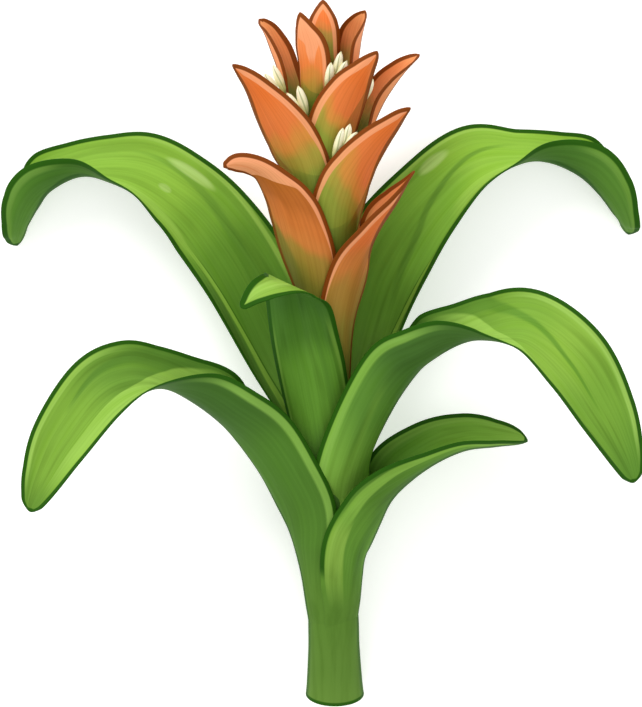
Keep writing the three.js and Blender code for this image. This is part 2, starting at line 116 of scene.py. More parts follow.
half_floor = 15
corners = [(x * half_floor, y * half_floor, 0) for x, y in [(-1, -1), (1, -1), (1, 1), (-1, 1)]]
floor_mesh = bpy.data.meshes.new("floor")
floor_mesh.from_pydata(corners, [], [(0, 1, 2, 3)])
floor = bpy.data.objects.new("floor", floor_mesh)
bpy.context.collection.objects.link(floor)
floor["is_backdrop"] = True

floor_paint, _, floor_inputs = new_paint("floor paint")
floor_inputs["Base Color"].default_value = colour("f6f6f4")
floor_inputs["Roughness"].default_value = 0.9
floor_inputs["Specular IOR Level"].default_value = 0.1
floor_inputs["Emission Color"].default_value = colour("ffffff")
floor_inputs["Emission Strength"].default_value = 0.4
floor_mesh.materials.append(floor_paint)

sky = bpy.data.worlds.new("sky")
sky.use_nodes = True
sky.node_tree.nodes["Background"].inputs["Color"].default_value = colour("ffffff")
sky.node_tree.nodes["Background"].inputs["Strength"].default_value = 0.8
bpy.context.scene.world = sky


lamps_aim = Vector((0, 0, 0.04))


def lamp(name, place, power, size):
    """A square soft lamp that shines on the middle of the plant."""
    data = bpy.data.lights.new(name, "AREA")
    data.energy = power
    data.size = size
    light = bpy.data.objects.new(name, data)
    light.location = place
    light.rotation_euler = (lamps_aim - light.location).to_track_quat("-Z", "Y").to_euler()
    bpy.context.collection.objects.link(light)


lamp("top lamp", (-0.7, 1.6, 1.5), 26, 1.0)
lamp("front lamp", (0.5, -0.4, 2.2), 6, 1.6)

# %% [markdown]
# ## Shader helpers
#
# Every finish is mixed from small shader nodes. These helpers add one node each and hand back
# its output, so that a finish reads like a recipe.

# %% Shader helpers
def feed(tree, socket, value):
    """Links a socket to another, or sets it to a plain value."""
    if isinstance(value, bpy.types.NodeSocket):
        tree.links.new(value, socket)
    else:
        socket.default_value = value


def calc(tree, operation, *values):
    node = tree.nodes.new("ShaderNodeMath")
    node.operation = operation
    for socket, value in zip(node.inputs, values):
        feed(tree, socket, value)
    return node.outputs[0]


def times(tree, first, second):
    return calc(tree, "MULTIPLY", first, second)


def fade(tree, value, low, high, start=0.0, end=1.0):
    """Goes smoothly from start to end while value goes from low to high."""
    node = tree.nodes.new("ShaderNodeMapRange")
    node.interpolation_type = "SMOOTHSTEP"
    for socket, number in zip(node.inputs[:5], (value, low, high, start, end)):
        feed(tree, socket, number)
    return node.outputs[0]


def mix(tree, factor, first, second, how="MIX"):
    node = tree.nodes.new("ShaderNodeMix")
    node.data_type = "RGBA"
    node.blend_type = how
    for number, value in ((0, factor), (6, first), (7, second)):
        feed(tree, node.inputs[number], value)
    return node.outputs[2]


def ramp(tree, factor, stops):
    """A colour ramp from places in percent and colour texts."""
    node = tree.nodes.new("ShaderNodeValToRGB")
    node.color_ramp.interpolation = "EASE"
    elements = node.color_ramp.elements
    while len(elements) < len(stops):
        elements.new(0.5)
    for element, (place, text) in zip(elements, stops.items()):
        element.position = place / 100
        element.color = colour(text)
    feed(tree, node.inputs[0], factor)
    return node.outputs[0]


def tint(tree, share, base, factor, stops):
    """Darkens a share of the base by a ramp of pale tints."""
    return mix(tree, share, base, ramp(tree, factor, stops), "MULTIPLY")


def cloud(tree, vector, scale=1.0, detail=2.0):
    """Soft noise round 0.5."""
    node = tree.nodes.new("ShaderNodeTexNoise")
    node.inputs["Scale"].default_value = scale
    node.inputs["Detail"].default_value = detail
    feed(tree, node.inputs["Vector"], vector)
    return node.outputs["Fac"]


def grain(tree, on_blade, fineness, seed, scale=1.0, detail=2.0):
    """Noise over (along, across) of a blade, with its own fineness each way."""
    node = tree.nodes.new("ShaderNodeCombineXYZ")
    values = [times(tree, value, fine) for value, fine in zip(on_blade, fineness)]
    for socket, value in zip(node.inputs, (*values, seed)):
        feed(tree, socket, value)
    return cloud(tree, node.outputs[0], scale, detail)


def stored(tree, name, output="Fac"):
    """A value that the mesh stores."""
    node = tree.nodes.new("ShaderNodeAttribute")
    node.attribute_name = name
    return node.outputs[output]


def separate(tree, vector):
    node = tree.nodes.new("ShaderNodeSeparateXYZ")
    feed(tree, node.inputs[0], vector)
    return node.outputs


def blade_coordinates(tree):
    """What the mesh of a leaf or bract stores: place along, place across, side and rim distance."""
    return (*separate(tree, stored(tree, "blade", "Vector")), stored(tree, "rim_distance"))


def by_side(tree, side, under, upper):
    """The under side's colour on side 0 and the upper side's on side 1."""
    return mix(tree, fade(tree, side, 0.35, 0.65), under, upper)


def by_rim(tree, across, widths):
    """The first width on the first rim's half of a blade (-1 across) and the second on the other."""
    return fade(tree, across, -0.1, 0.1, *widths)


def coat(tree, inputs, base, relief, strength, depth, uneven, roughness, gloss):
    """Plugs in the colour, a slight relief, a roughness between two values and a little gloss."""
    bump = tree.nodes.new("ShaderNodeBump")
    bump.inputs["Strength"].default_value = strength
    bump.inputs["Distance"].default_value = depth
    feed(tree, bump.inputs["Height"], relief)
    feed(tree, inputs["Normal"], bump.outputs[0])
    feed(tree, inputs["Base Color"], base)
    feed(tree, inputs["Roughness"], fade(tree, uneven, 0.2, 0.8, *roughness))
    inputs["Specular IOR Level"].default_value = gloss


print("shader helpers ready")

# %% [markdown]
# ## Stripes and spots
#
# The leaves and bracts carry long marks: painted highlights where they arch, painted shade in their
# hollows, and a salmon point that is a bract's own colour.
# The mesh stores where each point lies along the blade (0 at its foot, 1 at its tip), across it
# (-1 to 1) and on which side (0 under, 1 upper), and how many millimetres away the rim is. So a
# mark follows the blade through every curl. A texture on object coordinates would cut across it.
#
# A mark is (middle, half, soft, colour, strength). Its middle and its half width are lines along
# the blade, written as place: value, both in percent. Soft is the share of its width that fades.

# %% Stripes and spots
def line_along(tree, along, places):
    """A smooth line of values along the blade, from places and values in percent."""
    node = tree.nodes.new("ShaderNodeFloatCurve")
    points = node.mapping.curves[0].points
    raised = [(place / 100, value / 200 + 0.5) for place, value in places.items()]
    points[0].location = raised[0]
    points[1].location = raised[-1]
    for place in raised[1:-1]:
        points.new(*place)
    node.mapping.extend = "HORIZONTAL"
    node.mapping.update()
    feed(tree, node.inputs["Value"], along)
    return calc(tree, "MULTIPLY_ADD", node.outputs[0], 2.0, -1.0)


def stripe(tree, along, across, middle, half, soft):
    """1 inside a long stripe and 0 beside it. An end at the blade's foot or tip doesn't fade out."""
    offset = calc(tree, "ABSOLUTE", calc(tree, "SUBTRACT", across, line_along(tree, along, middle)))
    share = calc(tree, "DIVIDE", offset, line_along(tree, along, half))
    covered = fade(tree, share, 1.0, 1.0 - soft)
    begin, finish = min(middle) / 100, max(middle) / 100
    tail = 0.22 * (finish - begin)
    if begin > 0:
        covered = times(tree, covered, fade(tree, along, begin, begin + tail))
    if finish < 1:
        covered = times(tree, covered, fade(tree, along, finish, finish - tail))
    return covered


def spot(tree, on_blade, place, reach):
    """1 inside a soft oval and 0 beside it."""
    parts = []
    for value, middle, size in zip(on_blade, place, reach):
        from_middle = calc(tree, "DIVIDE", calc(tree, "SUBTRACT", value, middle), size)
        parts.append(calc(tree, "POWER", from_middle, 2.0))
    return fade(tree, calc(tree, "ADD", *parts), 1.0, 0.25)


def add_marks(tree, along, across, base, marks):
    """Lays marks over a base colour."""
    for middle, half, soft, text, strength in marks:
        share = times(tree, stripe(tree, along, across, middle, half, soft), strength)
        base = mix(tree, share, base, colour(text))
    return base


print("marks ready")

# %% [markdown]
# ## Leaf finish
#
# A strap leaf's colour is painted darker at its sheathed foot, as shade, and lighter where it arches,
# as a painted highlight. Fine parallel veins run along it, with a few broad soft streaks between them.
# Its rim is a thin dark green line, and where the leaf turns its back a painted band of dark shade
# stands for its outline. Its under side is painted darker, as shade, and duller. Fresh leaves are
# satin, so the gloss is low and the sky leaves no film.
#
# The two lowest leaves clasp the bare stem. Their feet take the stem's own skin, so that no edge
# shows where they run out on it.

# %% Stem skin
plant_gloss = 0.06
outline_green = "26540a"
skin_streaks = (230, 14, 230)
foot_to_share = (10.0, 1.765)


def trunk_skin(tree):
    """The colour of the bare stem from its cut to 10 cm up, and the place along the plant in metres."""
    where = tree.nodes.new("ShaderNodeTexCoord").outputs["Object"]
    stretched = tree.nodes.new("ShaderNodeVectorMath")
    stretched.operation = "MULTIPLY"
    stretched.inputs[1].default_value = skin_streaks
    feed(tree, stretched.inputs[0], where)
    place = separate(tree, where)[1]
    share = calc(tree, "MULTIPLY_ADD", place, *foot_to_share)
    skin = ramp(tree, share, {0: "608434", 20: "5a7e30", 50: "567c2c", 90: "517829"})
    streaks = cloud(tree, stretched.outputs[0], 1.0, 3.0)
    return tint(tree, 0.6, skin, streaks, {36: "dfe5d0", 62: "ffffff"}), place


print("stem skin ready")

# %% Leaf finish
keel_softness = 0.6
stem_skin_begins = -0.103
stem_skin_full = -0.130
line_run = 0.06


def leaf_paint(name, upper, under, upper_marks=(), under_marks=(), spots=(), keel=(), lines=(1.9, 1.9),
               seed=0.0, line_fades=0.0, on_stem=False):
    """A material for one leaf. upper and under are ramps from its foot to its tip, and lines are the
    widths in millimetres of the dark line along its first and its second rim, which begins at the
    share line_fades of its length."""
    material, tree, inputs = new_paint(name)
    along, across, side, rim = blade_coordinates(tree)
    on_blade = (along, across)
    broad = grain(tree, on_blade, (2.2, 2.4), seed, 1.6)
    veins = grain(tree, on_blade, (1.5, 20.0), seed)
    blotches = grain(tree, on_blade, (5.0, 1.2), seed, 1.0, 1.0)

    shifted = calc(tree, "ADD", along, times(tree, calc(tree, "SUBTRACT", blotches, 0.5), 0.1))
    # Ramps paint a shaded foot and a lit crown; marks and spots paint highlights and shade.
    top = add_marks(tree, along, across, ramp(tree, shifted, upper), upper_marks)
    for place, reach, text, strength in spots:
        top = mix(tree, times(tree, spot(tree, on_blade, place, reach), strength), top, colour(text))
    back = add_marks(tree, along, across, ramp(tree, shifted, under), under_marks)

    base = by_side(tree, side, back, top)
    base = tint(tree, 1.0, base, broad, {30: "e6e8dc", 50: "ffffff", 72: "f6fae4"})
    base = tint(tree, 0.2, base, veins, {35: "b9c4a8", 60: "ffffff"})
    if on_stem:
        skin, place = trunk_skin(tree)
        base = mix(tree, fade(tree, place, stem_skin_begins, stem_skin_full), base, skin)
    # Painted shade: a dark band along the fold where the leaf turns its back, in place of its outline.
    if keel:
        underneath = fade(tree, side, 0.65, 0.35, 0.0, 0.85)
        share = times(tree, stripe(tree, along, across, *keel, keel_softness), underneath)
        base = mix(tree, share, base, colour(outline_green))

    edge = fade(tree, calc(tree, "DIVIDE", rim, by_rim(tree, across, lines)), 1.15, 0.8)
    line = times(tree, edge, fade(tree, along, line_fades, line_fades + line_run))
    base = mix(tree, line, base, colour(outline_green))
    coat(tree, inputs, base, relief=veins, strength=0.18, depth=0.0004,
         uneven=broad, roughness=(0.5, 0.66), gloss=plant_gloss)
    return material


print("leaf finish ready")

# %% [markdown]
# ## Bract finish
#
# Bracts are leaves that turned into a signal: olive green at the foot, orange towards the tip and
# salmon at the very point, with a thin brown edge. A salmon strip along the rim is a painted
# highlight. The green and the orange run into each other in soft blotches, so noise moves the ramp's
# place, and the border leans across the blade. A brown band of painted shade shows where the bract
# turns its back, in place of its outline.

# %% Bract finish
outline_brown = "7c3c0a"
# Salmon is the bracts' own colour at a point and a painted highlight along their rims.
salmon = "f0a172"
fold_softness = 0.4
bract_gloss = 0.1


def bract_paint(name, outside, inside, marks=(), light=(0.0, 0.0), lines=(2.0, 2.0), fold=(), lean=0.0,
                seed=0.0):
    """A material for one bract. outside is the face away from the stem. light and lines are widths in
    millimetres along its first and its second rim, of the salmon strip and of the brown edge."""
    material, tree, inputs = new_paint(name)
    along, across, side, rim = blade_coordinates(tree)
    patch = grain(tree, (along, across), (3.0, 1.2), seed, 1.3, 1.5)
    veins = grain(tree, (along, across), (1.5, 16.0), seed)
    leaning = calc(tree, "MULTIPLY_ADD", across, lean, along)
    shifted = calc(tree, "MULTIPLY_ADD", calc(tree, "SUBTRACT", patch, 0.5), 0.2, leaning)
    outer = add_marks(tree, along, across, ramp(tree, shifted, outside), marks)

    # Painted highlight: a salmon strip inside each rim, widening up the bract.
    line = by_rim(tree, across, lines)
    widening = fade(tree, along, 0.25, 0.6)
    reach = calc(tree, "MULTIPLY_ADD", by_rim(tree, across, light), widening, line)
    bright = fade(tree, calc(tree, "SUBTRACT", reach, rim), 0.0, 0.5, 0.0, 0.85)
    outer = mix(tree, bright, outer, colour(salmon))
    # Painted shade: a brown band along the fold where the bract turns its back.
    if fold:
        share = times(tree, stripe(tree, along, across, *fold, fold_softness), 0.9)
        outer = mix(tree, share, outer, colour(outline_brown))

    base = by_side(tree, side, outer, ramp(tree, shifted, inside))
    base = tint(tree, 0.25, base, veins, {35: "d2c4ae", 60: "ffffff"})
    edge = fade(tree, calc(tree, "DIVIDE", rim, line), 1.1, 0.85)
    edge = times(tree, edge, fade(tree, along, 0.02, 0.1))
    base = mix(tree, edge, base, colour(outline_brown))
    coat(tree, inputs, base, relief=veins, strength=0.2, depth=0.0003,
         uneven=patch, roughness=(0.45, 0.6), gloss=bract_gloss)
    return material


print("bract finish ready")

# %% [markdown]
# ## Blade mesh
#
# A leaf and a bract are both a blade: a strap that follows a midrib and curls across its width.
# It could be a flat grid bent by modifiers, but then its width, its curl and its facing could not
# be set where they matter. Here each blade is lofted through a few stations along the midrib.
# Smooth curves fill in between them.
#
# A station is eight numbers: the midrib's point, an arrow the way the upper side faces, the width
# measured along the curl, and the curl's angle. The point is in the plant's own millimetres: x
# across, y from the cut end, and the height over the stem's sloping axis. The arrow's length
# doesn't matter.

# %% Plant measures
plant_length = 353
axis_height = 12.1
stem_rise = 0.16
stem_foot_x = 7
stem_tip_x = 1
leaf_thickness = 1.3
bract_thickness = 1.1
rim_thickness = 0.8
row_shift = np.array([0.0045, -176.4815, 0.0])


def axis_x(y):
    return stem_foot_x + (stem_tip_x - stem_foot_x) * y / plant_length


def axis_z(y):
    return axis_height + stem_rise * y


def sheath(azimuth, y, radius, wrap):
    """The station of a foot that wraps the stem. Azimuth 0 is in front, positive to the right."""
    turn, around = np.radians([azimuth, wrap])
    sin, cos = np.sin(turn), np.cos(turn)
    return (axis_x(y) + radius * sin, y, radius * cos, -sin, 0, -cos, radius * around, wrap)


print("stem axis at the top", axis_x(plant_length), round(axis_z(plant_length), 1))

# %% Smooth curve through stations
def through(values, t):
    """Catmull-Rom curve through rows of values, for t from 0 to 1."""
    values = np.asarray(values, float)
    padded = np.vstack([2 * values[0] - values[1], values, 2 * values[-1] - values[-2]])
    place = np.asarray(t) * (len(values) - 1)
    i = np.minimum(place.astype(int), len(values) - 2)
    w = (place - i)[:, None]
    before, start, end, after = padded[i], padded[i + 1], padded[i + 2], padded[i + 3]
    leave, arrive = (end - before) / 2, (after - start) / 2
    return ((2 * w**3 - 3 * w**2 + 1) * start + (w**3 - 2 * w**2 + w) * leave
            + (-2 * w**3 + 3 * w**2) * end + (w**3 - w**2) * arrive)


def unit(rows):
    return rows / np.linalg.norm(rows, axis=-1, keepdims=True)


print("halfway between 0 and 1:", through([[0.0], [1.0]], np.array([0.5]))[0, 0])

# %% Closed mesh
def closed_mesh(name, points, faces, coordinates, rim, material):
    """A closed mesh with its faces turned outwards, and the two values that its finish reads.
    What would reach below the surface is flattened on it."""
    placed = np.array(points)
    placed[:, 2] = np.maximum(placed[:, 2], 0.0)
    mesh = bpy.data.meshes.new(name)
    mesh.from_pydata(((placed + row_shift) / 1000).tolist(), [], faces)
    turned = bmesh.new()
    turned.from_mesh(mesh)
    bmesh.ops.recalc_face_normals(turned, faces=turned.faces)
    turned.to_mesh(mesh)
    turned.free()
    for label, kind, key, values in [("blade", "FLOAT_VECTOR", "vector", coordinates),
                                     ("rim_distance", "FLOAT", "value", rim)]:
        attribute = mesh.attributes.new(label, kind, "POINT")
        attribute.data.foreach_set(key, np.asarray(values, np.float32).ravel())
    mesh.shade_smooth()
    mesh.materials.append(material)
    return mesh


def stand_in(name, mesh, node):
    """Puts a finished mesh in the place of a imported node."""
    piece = bpy.data.objects.new(name, mesh)
    bpy.context.collection.objects.link(piece)
    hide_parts(node)
    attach(piece, "root")
    print(name, len(mesh.polygons), "faces")


print("mesh helpers ready")

# %% [markdown]
# The blade's outline across is a ring: the upper side, a rounded rim, the under side and the other
# rim. It thins out at the foot and narrows to a round tip. The last step to the tip gets extra
# rings, and none of them shrinks to a point, so a small face closes the mesh cleanly.

# %% Ring across a blade
across_steps = 28
rim_step = 0.6
rim_bulge = 0.3
steps = np.linspace(-1, 1, across_steps + 1)
first_rim = [(-1.0, -rim_step, 0.38), (-1.0, rim_step, 0.62)]
second_rim = [(1.0, rim_step, 0.62), (1.0, -rim_step, 0.38)]
ring = [*((v, 1.0, 1.0) for v in steps), *second_rim, *((v, -1.0, 0.0) for v in steps[::-1]), *first_rim]
ring_across, ring_depth, ring_side = np.array(ring).T
ring_bulge = np.where(np.abs(ring_depth) < 1, rim_bulge, 0.0) * np.sign(ring_across)
print("points in a ring", len(ring))

# %% Blade mesh
rings_between = 12
tip_rings = 8
least_curl = 5
foot_slimness = 0.12
tip_slimness = 0.35
most_rounding = 0.985


def blade(name, node, stations, thickness, material, foot, round_tip=4.0):
    """Lofts a closed blade, stores its coordinates on it, and puts it in the node's place."""
    table = np.array(stations, float)
    table[:, 2] += axis_z(table[:, 1])
    table[:, 3:6] = unit(table[:, 3:6])
    t = np.linspace(0, 1, rings_between * (len(table) - 1) + 1)
    t = np.concatenate([t[:-2], np.linspace(t[-3], 1, tip_rings + 1)[1:]])
    centre = through(table[:, :3], t)
    step = 1e-3
    ahead, behind = (through(table[:, :3], np.clip(t + shift, 0, 1)) for shift in (step, -step))
    tangent = unit(ahead - behind)
    face = through(table[:, 3:6], t)
    face = unit(face - tangent * np.sum(face * tangent, axis=1, keepdims=True))
    sideways = np.cross(tangent, face)
    wide, curl = through(table[:, 6:8], t).T
    curl = np.radians(np.maximum(curl, least_curl))

    gone = np.concatenate([[0], np.cumsum(np.linalg.norm(np.diff(centre, axis=0), axis=1))])
    left = gone[-1] - gone
    rounding = np.sqrt(1 - np.clip(1 - left / round_tip, 0, most_rounding)**2)
    wide = wide * rounding
    risen = np.clip(gone / foot, 0, 1)
    slim = foot_slimness + (1 - foot_slimness) * risen**2 * (3 - 2 * risen)
    slim = (slim * (tip_slimness + (1 - tip_slimness) * rounding))[:, None]

    radius = (wide / curl)[:, None]
    half = (rim_thickness + (thickness - rim_thickness) * (1 - ring_across**2)) / 2 * slim
    angle = ring_across * (curl / 2)[:, None] + ring_bulge * slim / radius
    inward = radius - ring_depth * half
    points = (centre[:, None] + sideways[:, None] * (inward * np.sin(angle))[..., None]
              + face[:, None] * (radius - inward * np.cos(angle))[..., None]).reshape(-1, 3)

    size, rings = len(ring), len(t)
    faces = []
    for low in range(0, (rings - 1) * size, size):
        for j in range(size):
            k = (j + 1) % size
            faces.append((low + j, low + k, low + size + k, low + size + j))
    faces += [tuple(range(size))[::-1], tuple(range((rings - 1) * size, rings * size))]
    along = np.repeat(gone / gone[-1], size)
    coordinates = np.stack([along, np.tile(ring_across, rings), np.tile(ring_side, rings)], axis=1)
    rim = np.minimum((1 - np.abs(ring_across)) * wide[:, None] / 2, left[:, None])
    stand_in(name, closed_mesh(name, points, faces, coordinates, rim, material), node)


def leaf(title, name, node, stations, foot, round_tip=4.0, **looks):
    """Mixes a leaf's own finish and lofts the leaf."""
    blade(name, node, stations, leaf_thickness, leaf_paint(title, **looks), foot, round_tip)


print("blade maker ready")

# %% [markdown]
# ## Leaves
#
# The leaves are listed from the outermost sheath to the innermost. The lowest two clasp the bare
# stem, so their feet thin out to nothing on it and leave no step.
#
# Each leaf has its own ramps and marks, because they paint its light and shade, and the painted
# highlight lies where that leaf arches. In the tables below ramps and lines are in percent of the
# blade, and stations are in millimetres.

# %% Lower right leaf
leaf(
    "leaf lower right", "leaf_low_right", "leaf_lower_right", [
        (15.1, 38, 7.5, -77, 0, -64, 29, 128),
        (16.3, 50, 9.1, -77, 0, -64, 32.6, 140),
        (17.2, 64, 9.9, -77, 0, -64, 38.2, 150),
        (20.1, 78, 12.9, -80, 0, -60, 44.2, 143),
        (28.3, 92.6, 13.5, -82, 40, -40, 48, 160),
        (40, 109.5, 12.5, -66, 74, 22, 57, 188),
        (55.8, 123, 12.5, -44, 79, 42, 49, 160),
        (72, 130.3, 14.5, -17, 86, 47, 39, 145),
        (87, 131.8, 17, 5, 88, 45, 29.5, 125),
        (97, 132.3, 19, 10, 90, 40, 20, 108),
        (103.2, 133, 20, 15, 93, 35, 8.5, 80),
    ],
    foot=24, seed=3.1, lines=(1.8, 2.1), line_fades=0.16, on_stem=True,
    # Ramps, marks and the band along its fold paint this leaf's light and shade.
    upper={0: "5c8330", 40: "4c7528", 60: "649433", 80: "78a63b", 100: "88b347"},
    under={0: "5b8030", 14: "5d8a2e", 30: "5e8b30", 50: "527c2a", 75: "608e30", 100: "719b3c"},
    upper_marks=[
        ({50: -86, 75: -86, 100: -80}, {50: 10, 100: 16}, 0.6, "8db650", 0.5),
    ],
    under_marks=[
        ({0: 60, 10: 62, 20: 66, 30: 70, 38: 74}, {0: 20, 10: 26, 30: 22, 38: 16}, 0.25, "86ac46", 0.85),
        ({26: 72, 46: 77, 58: 84, 75: 88, 100: 80}, {26: 20, 46: 12, 60: 9, 100: 14}, 0.35, "88b548", 0.7),
        ({0: -15, 20: 0, 33: 10}, {0: 40, 33: 30}, 0.8, "466f22", 0.3),
        ({10: 0, 35: 10, 60: 50, 80: 70}, {10: 25, 80: 16}, 0.9, "47702a", 0.5),
    ],
    keel=({0: -42, 15: -40, 20: -36, 30: -33, 40: -15, 50: 18, 60: 35, 70: 46, 80: 52, 100: 60},
          {0: 15, 50: 14, 80: 18, 100: 20}),
)

# %% Middle left leaf
leaf(
    "leaf middle left", "leaf_mid_left", "leaf_mid_left", [
        sheath(-78, 36, 11.8, 128),
        sheath(-77, 48, 13.2, 138),
        (-9, 64, 2.7, 98, 0, -19, 36, 148),
        (-12.8, 80, 3.6, 97, 0, -23, 53, 168),
        (-18, 97, 7.5, 82, 34, -47, 59, 172),
        (-27.3, 115, 13, 79, 43, -44, 61, 180),
        (-38.8, 130.6, 18, 74, 59, -31, 66, 195),
        (-52, 144, 23.5, 66, 76, 0, 68, 203),
        (-66.3, 154.3, 29, 44, 89, 6, 61, 172),
        (-80.7, 161.5, 33, 17, 92, 34, 52, 112),
        (-95, 162.5, 37, -13, 74, 66, 48, 92),
        (-110, 155, 41, -31, 42, 86, 43, 80),
        (-127.5, 133, 45, -38, 28, 88, 36, 65),
        (-137.5, 115, 47, -40, 25, 88, 25, 55),
        (-142.5, 104, 47, -40, 25, 88, 15, 48),
        (-144.8, 98, 47, -40, 25, 88, 7, 45),
    ],
    foot=24, round_tip=5, seed=7.7, lines=(2.1, 1.9), on_stem=True,
    # Ramps, marks and the band along its fold paint this leaf's light and shade.
    upper={0: "5c8330", 42: "507a2b", 55: "5a862f", 68: "658e32", 80: "7ba43a", 90: "79a239", 100: "648d32"},
    under={0: "5f8532", 20: "507a2a", 36: "527f2c", 50: "446c29", 70: "426a28", 100: "507a2c"},
    upper_marks=[
        ({50: 90, 60: 85, 66: 66, 73: 50, 82: 40}, {50: 30, 62: 28, 72: 12, 82: 6}, 0.7, "557f2c", 0.75),
        ({46: 0, 54: -6, 58: -12, 61: -25, 64: -41, 67: -56, 70: -62, 77: -66, 97: -66},
         {46: 100, 54: 94, 58: 88, 61: 75, 64: 59, 67: 44, 70: 38, 77: 34, 97: 34}, 0.08, "97c052", 0.8),
        ({66: 86, 76: 86, 88: 84, 98: 70}, {66: 8, 98: 14}, 0.6, "a3cb60", 0.6),
    ],
    under_marks=[
        ({8: -90, 30: -88, 50: -90, 62: -90}, {8: 10, 62: 10}, 0.5, "8ab850", 0.7),
    ],
    keel=({0: 2, 10: 0, 15: 0, 20: 7, 30: 20, 40: 10, 50: -9, 62: -30},
          {0: 20, 15: 15, 20: 10, 50: 9, 62: 12}),
)

# %% Middle right leaf
leaf(
    "leaf middle right", "leaf_mid_right", "leaf_mid_right", [
        sheath(60, 64, 13, 150),
        sheath(56, 84, 14.4, 150),
        (18.5, 104, 8, -66, 10, -75, 48, 160),
        (22, 124, 13, -84, 24, -49, 54, 166),
        (33, 148, 19, -79, 40, -45, 56, 175),
        (45.5, 165.5, 24.5, -70, 60, -28, 62, 196),
        (56, 174.3, 29, -57, 82, 2, 63, 196),
        (69, 181.8, 33, -37, 92, 12, 57, 162),
        (83, 186, 36.5, -10, 90, 40, 53, 122),
        (104, 187, 41, 24, 60, 76, 46, 92),
        (124.8, 171, 44, 34, 32, 88, 43, 72),
        (140.3, 147, 46, 38, 22, 90, 34.5, 65),
        (149.5, 129, 47, 40, 20, 90, 23.5, 55),
        (154, 118, 47, 40, 20, 90, 14, 48),
        (155.6, 112.5, 47, 40, 20, 90, 7, 45),
    ],
    foot=14, round_tip=5, seed=11.2, lines=(1.9, 2.1),
    # Ramps, marks and the band along its fold paint this leaf's light and shade.
    upper={0: "5c8330", 42: "4a7529", 52: "5f8a31", 62: "7ca63c", 72: "89b142", 84: "75a038", 100: "5d8a30"},
    under={0: "5d8830", 20: "7cab40", 33: "5a8731", 46: "446c29", 70: "426a28", 100: "507a2c"},
    upper_marks=[
        ({50: -95, 56: -88, 61: -62, 66: -28, 70: -12, 76: 3, 88: 10},
         {50: 30, 58: 24, 64: 14, 72: 9, 88: 5}, 0.7, "5c8a2e", 0.75),
        ({46: 4, 50: 6, 54: 15, 57.5: 35, 60: 53, 62.5: 68, 65: 82, 69: 93, 90: 97},
         {46: 98, 50: 98, 54: 94, 57.5: 76, 60: 58, 62.5: 42, 65: 26, 69: 10, 90: 5}, 0.08, "9ac456", 0.85),
        ({60: -87, 70: -87, 85: -85, 98: -70}, {60: 8, 98: 14}, 0.6, "a6ce64", 0.6),
    ],
    under_marks=[
        ({10: 87, 25: 87, 40: 88, 56: 90}, {10: 12, 56: 10}, 0.5, "8ab850", 0.7),
        ({10: 20, 25: 32, 40: 45}, {10: 10, 40: 12}, 0.9, "7aa63e", 0.35),
    ],
    keel=({3: -23, 10: -35, 15: -47, 20: -37, 30: -20, 40: -10, 50: 14, 62: 72},
          {3: 17, 20: 11, 40: 9, 62: 14}),
)

# %% Centre leaf
leaf(
    "leaf centre", "leaf_centre", "leaf_centre", [
        sheath(-8, 78, 12.4, 130),
        sheath(-8, 104, 12.8, 140),
        (0, 136, 17, 10, 5, -100, 38, 130),
        (-5, 164, 21, 12, 12, -100, 39, 105),
        (-9.5, 184, 23.5, 20, 25, -95, 37, 80),
        (-12.5, 198.5, 26, 38, 48, -80, 36, 50),
        (-14.6, 209.4, 31, 37, 92, 5, 35, 8),
        (-19, 210.8, 37.5, 30, 94, 17, 25.5, 10),
        (-25.5, 209.6, 43.5, 26, 78, 57, 17, 25),
        (-32.5, 206.3, 48, 25, 45, 86, 11, 35),
        (-39.7, 199.4, 50, 25, 35, 90, 3, 40),
    ],
    foot=10, round_tip=2, seed=5.4, lines=(2.3, 2.9),
    # Ramps and marks paint this leaf's light and shade.
    upper={0: "4c7626", 60: "5f8c30", 75: "7ca63a", 100: "8cb548"},
    under={0: "3f6525", 25: "456d28", 42: "5f8f2e", 55: "5f8f2f", 66: "4f7c2b", 75: "47732a", 100: "5a8430"},
    upper_marks=[
        ({76: 0, 86: 10, 100: 30}, {76: 50, 100: 50}, 0.9, "a3cc60", 0.6),
    ],
    under_marks=[
        ({30: -86, 50: -86, 70: -80}, {30: 10, 70: 10}, 0.6, "86b048", 0.5),
        ({30: 84, 50: 84, 70: 84}, {30: 10, 70: 10}, 0.6, "7fa848", 0.5),
        ({25: -50, 45: -45, 70: -40}, {25: 20, 70: 10}, 0.8, "426c24", 0.25),
    ],
)

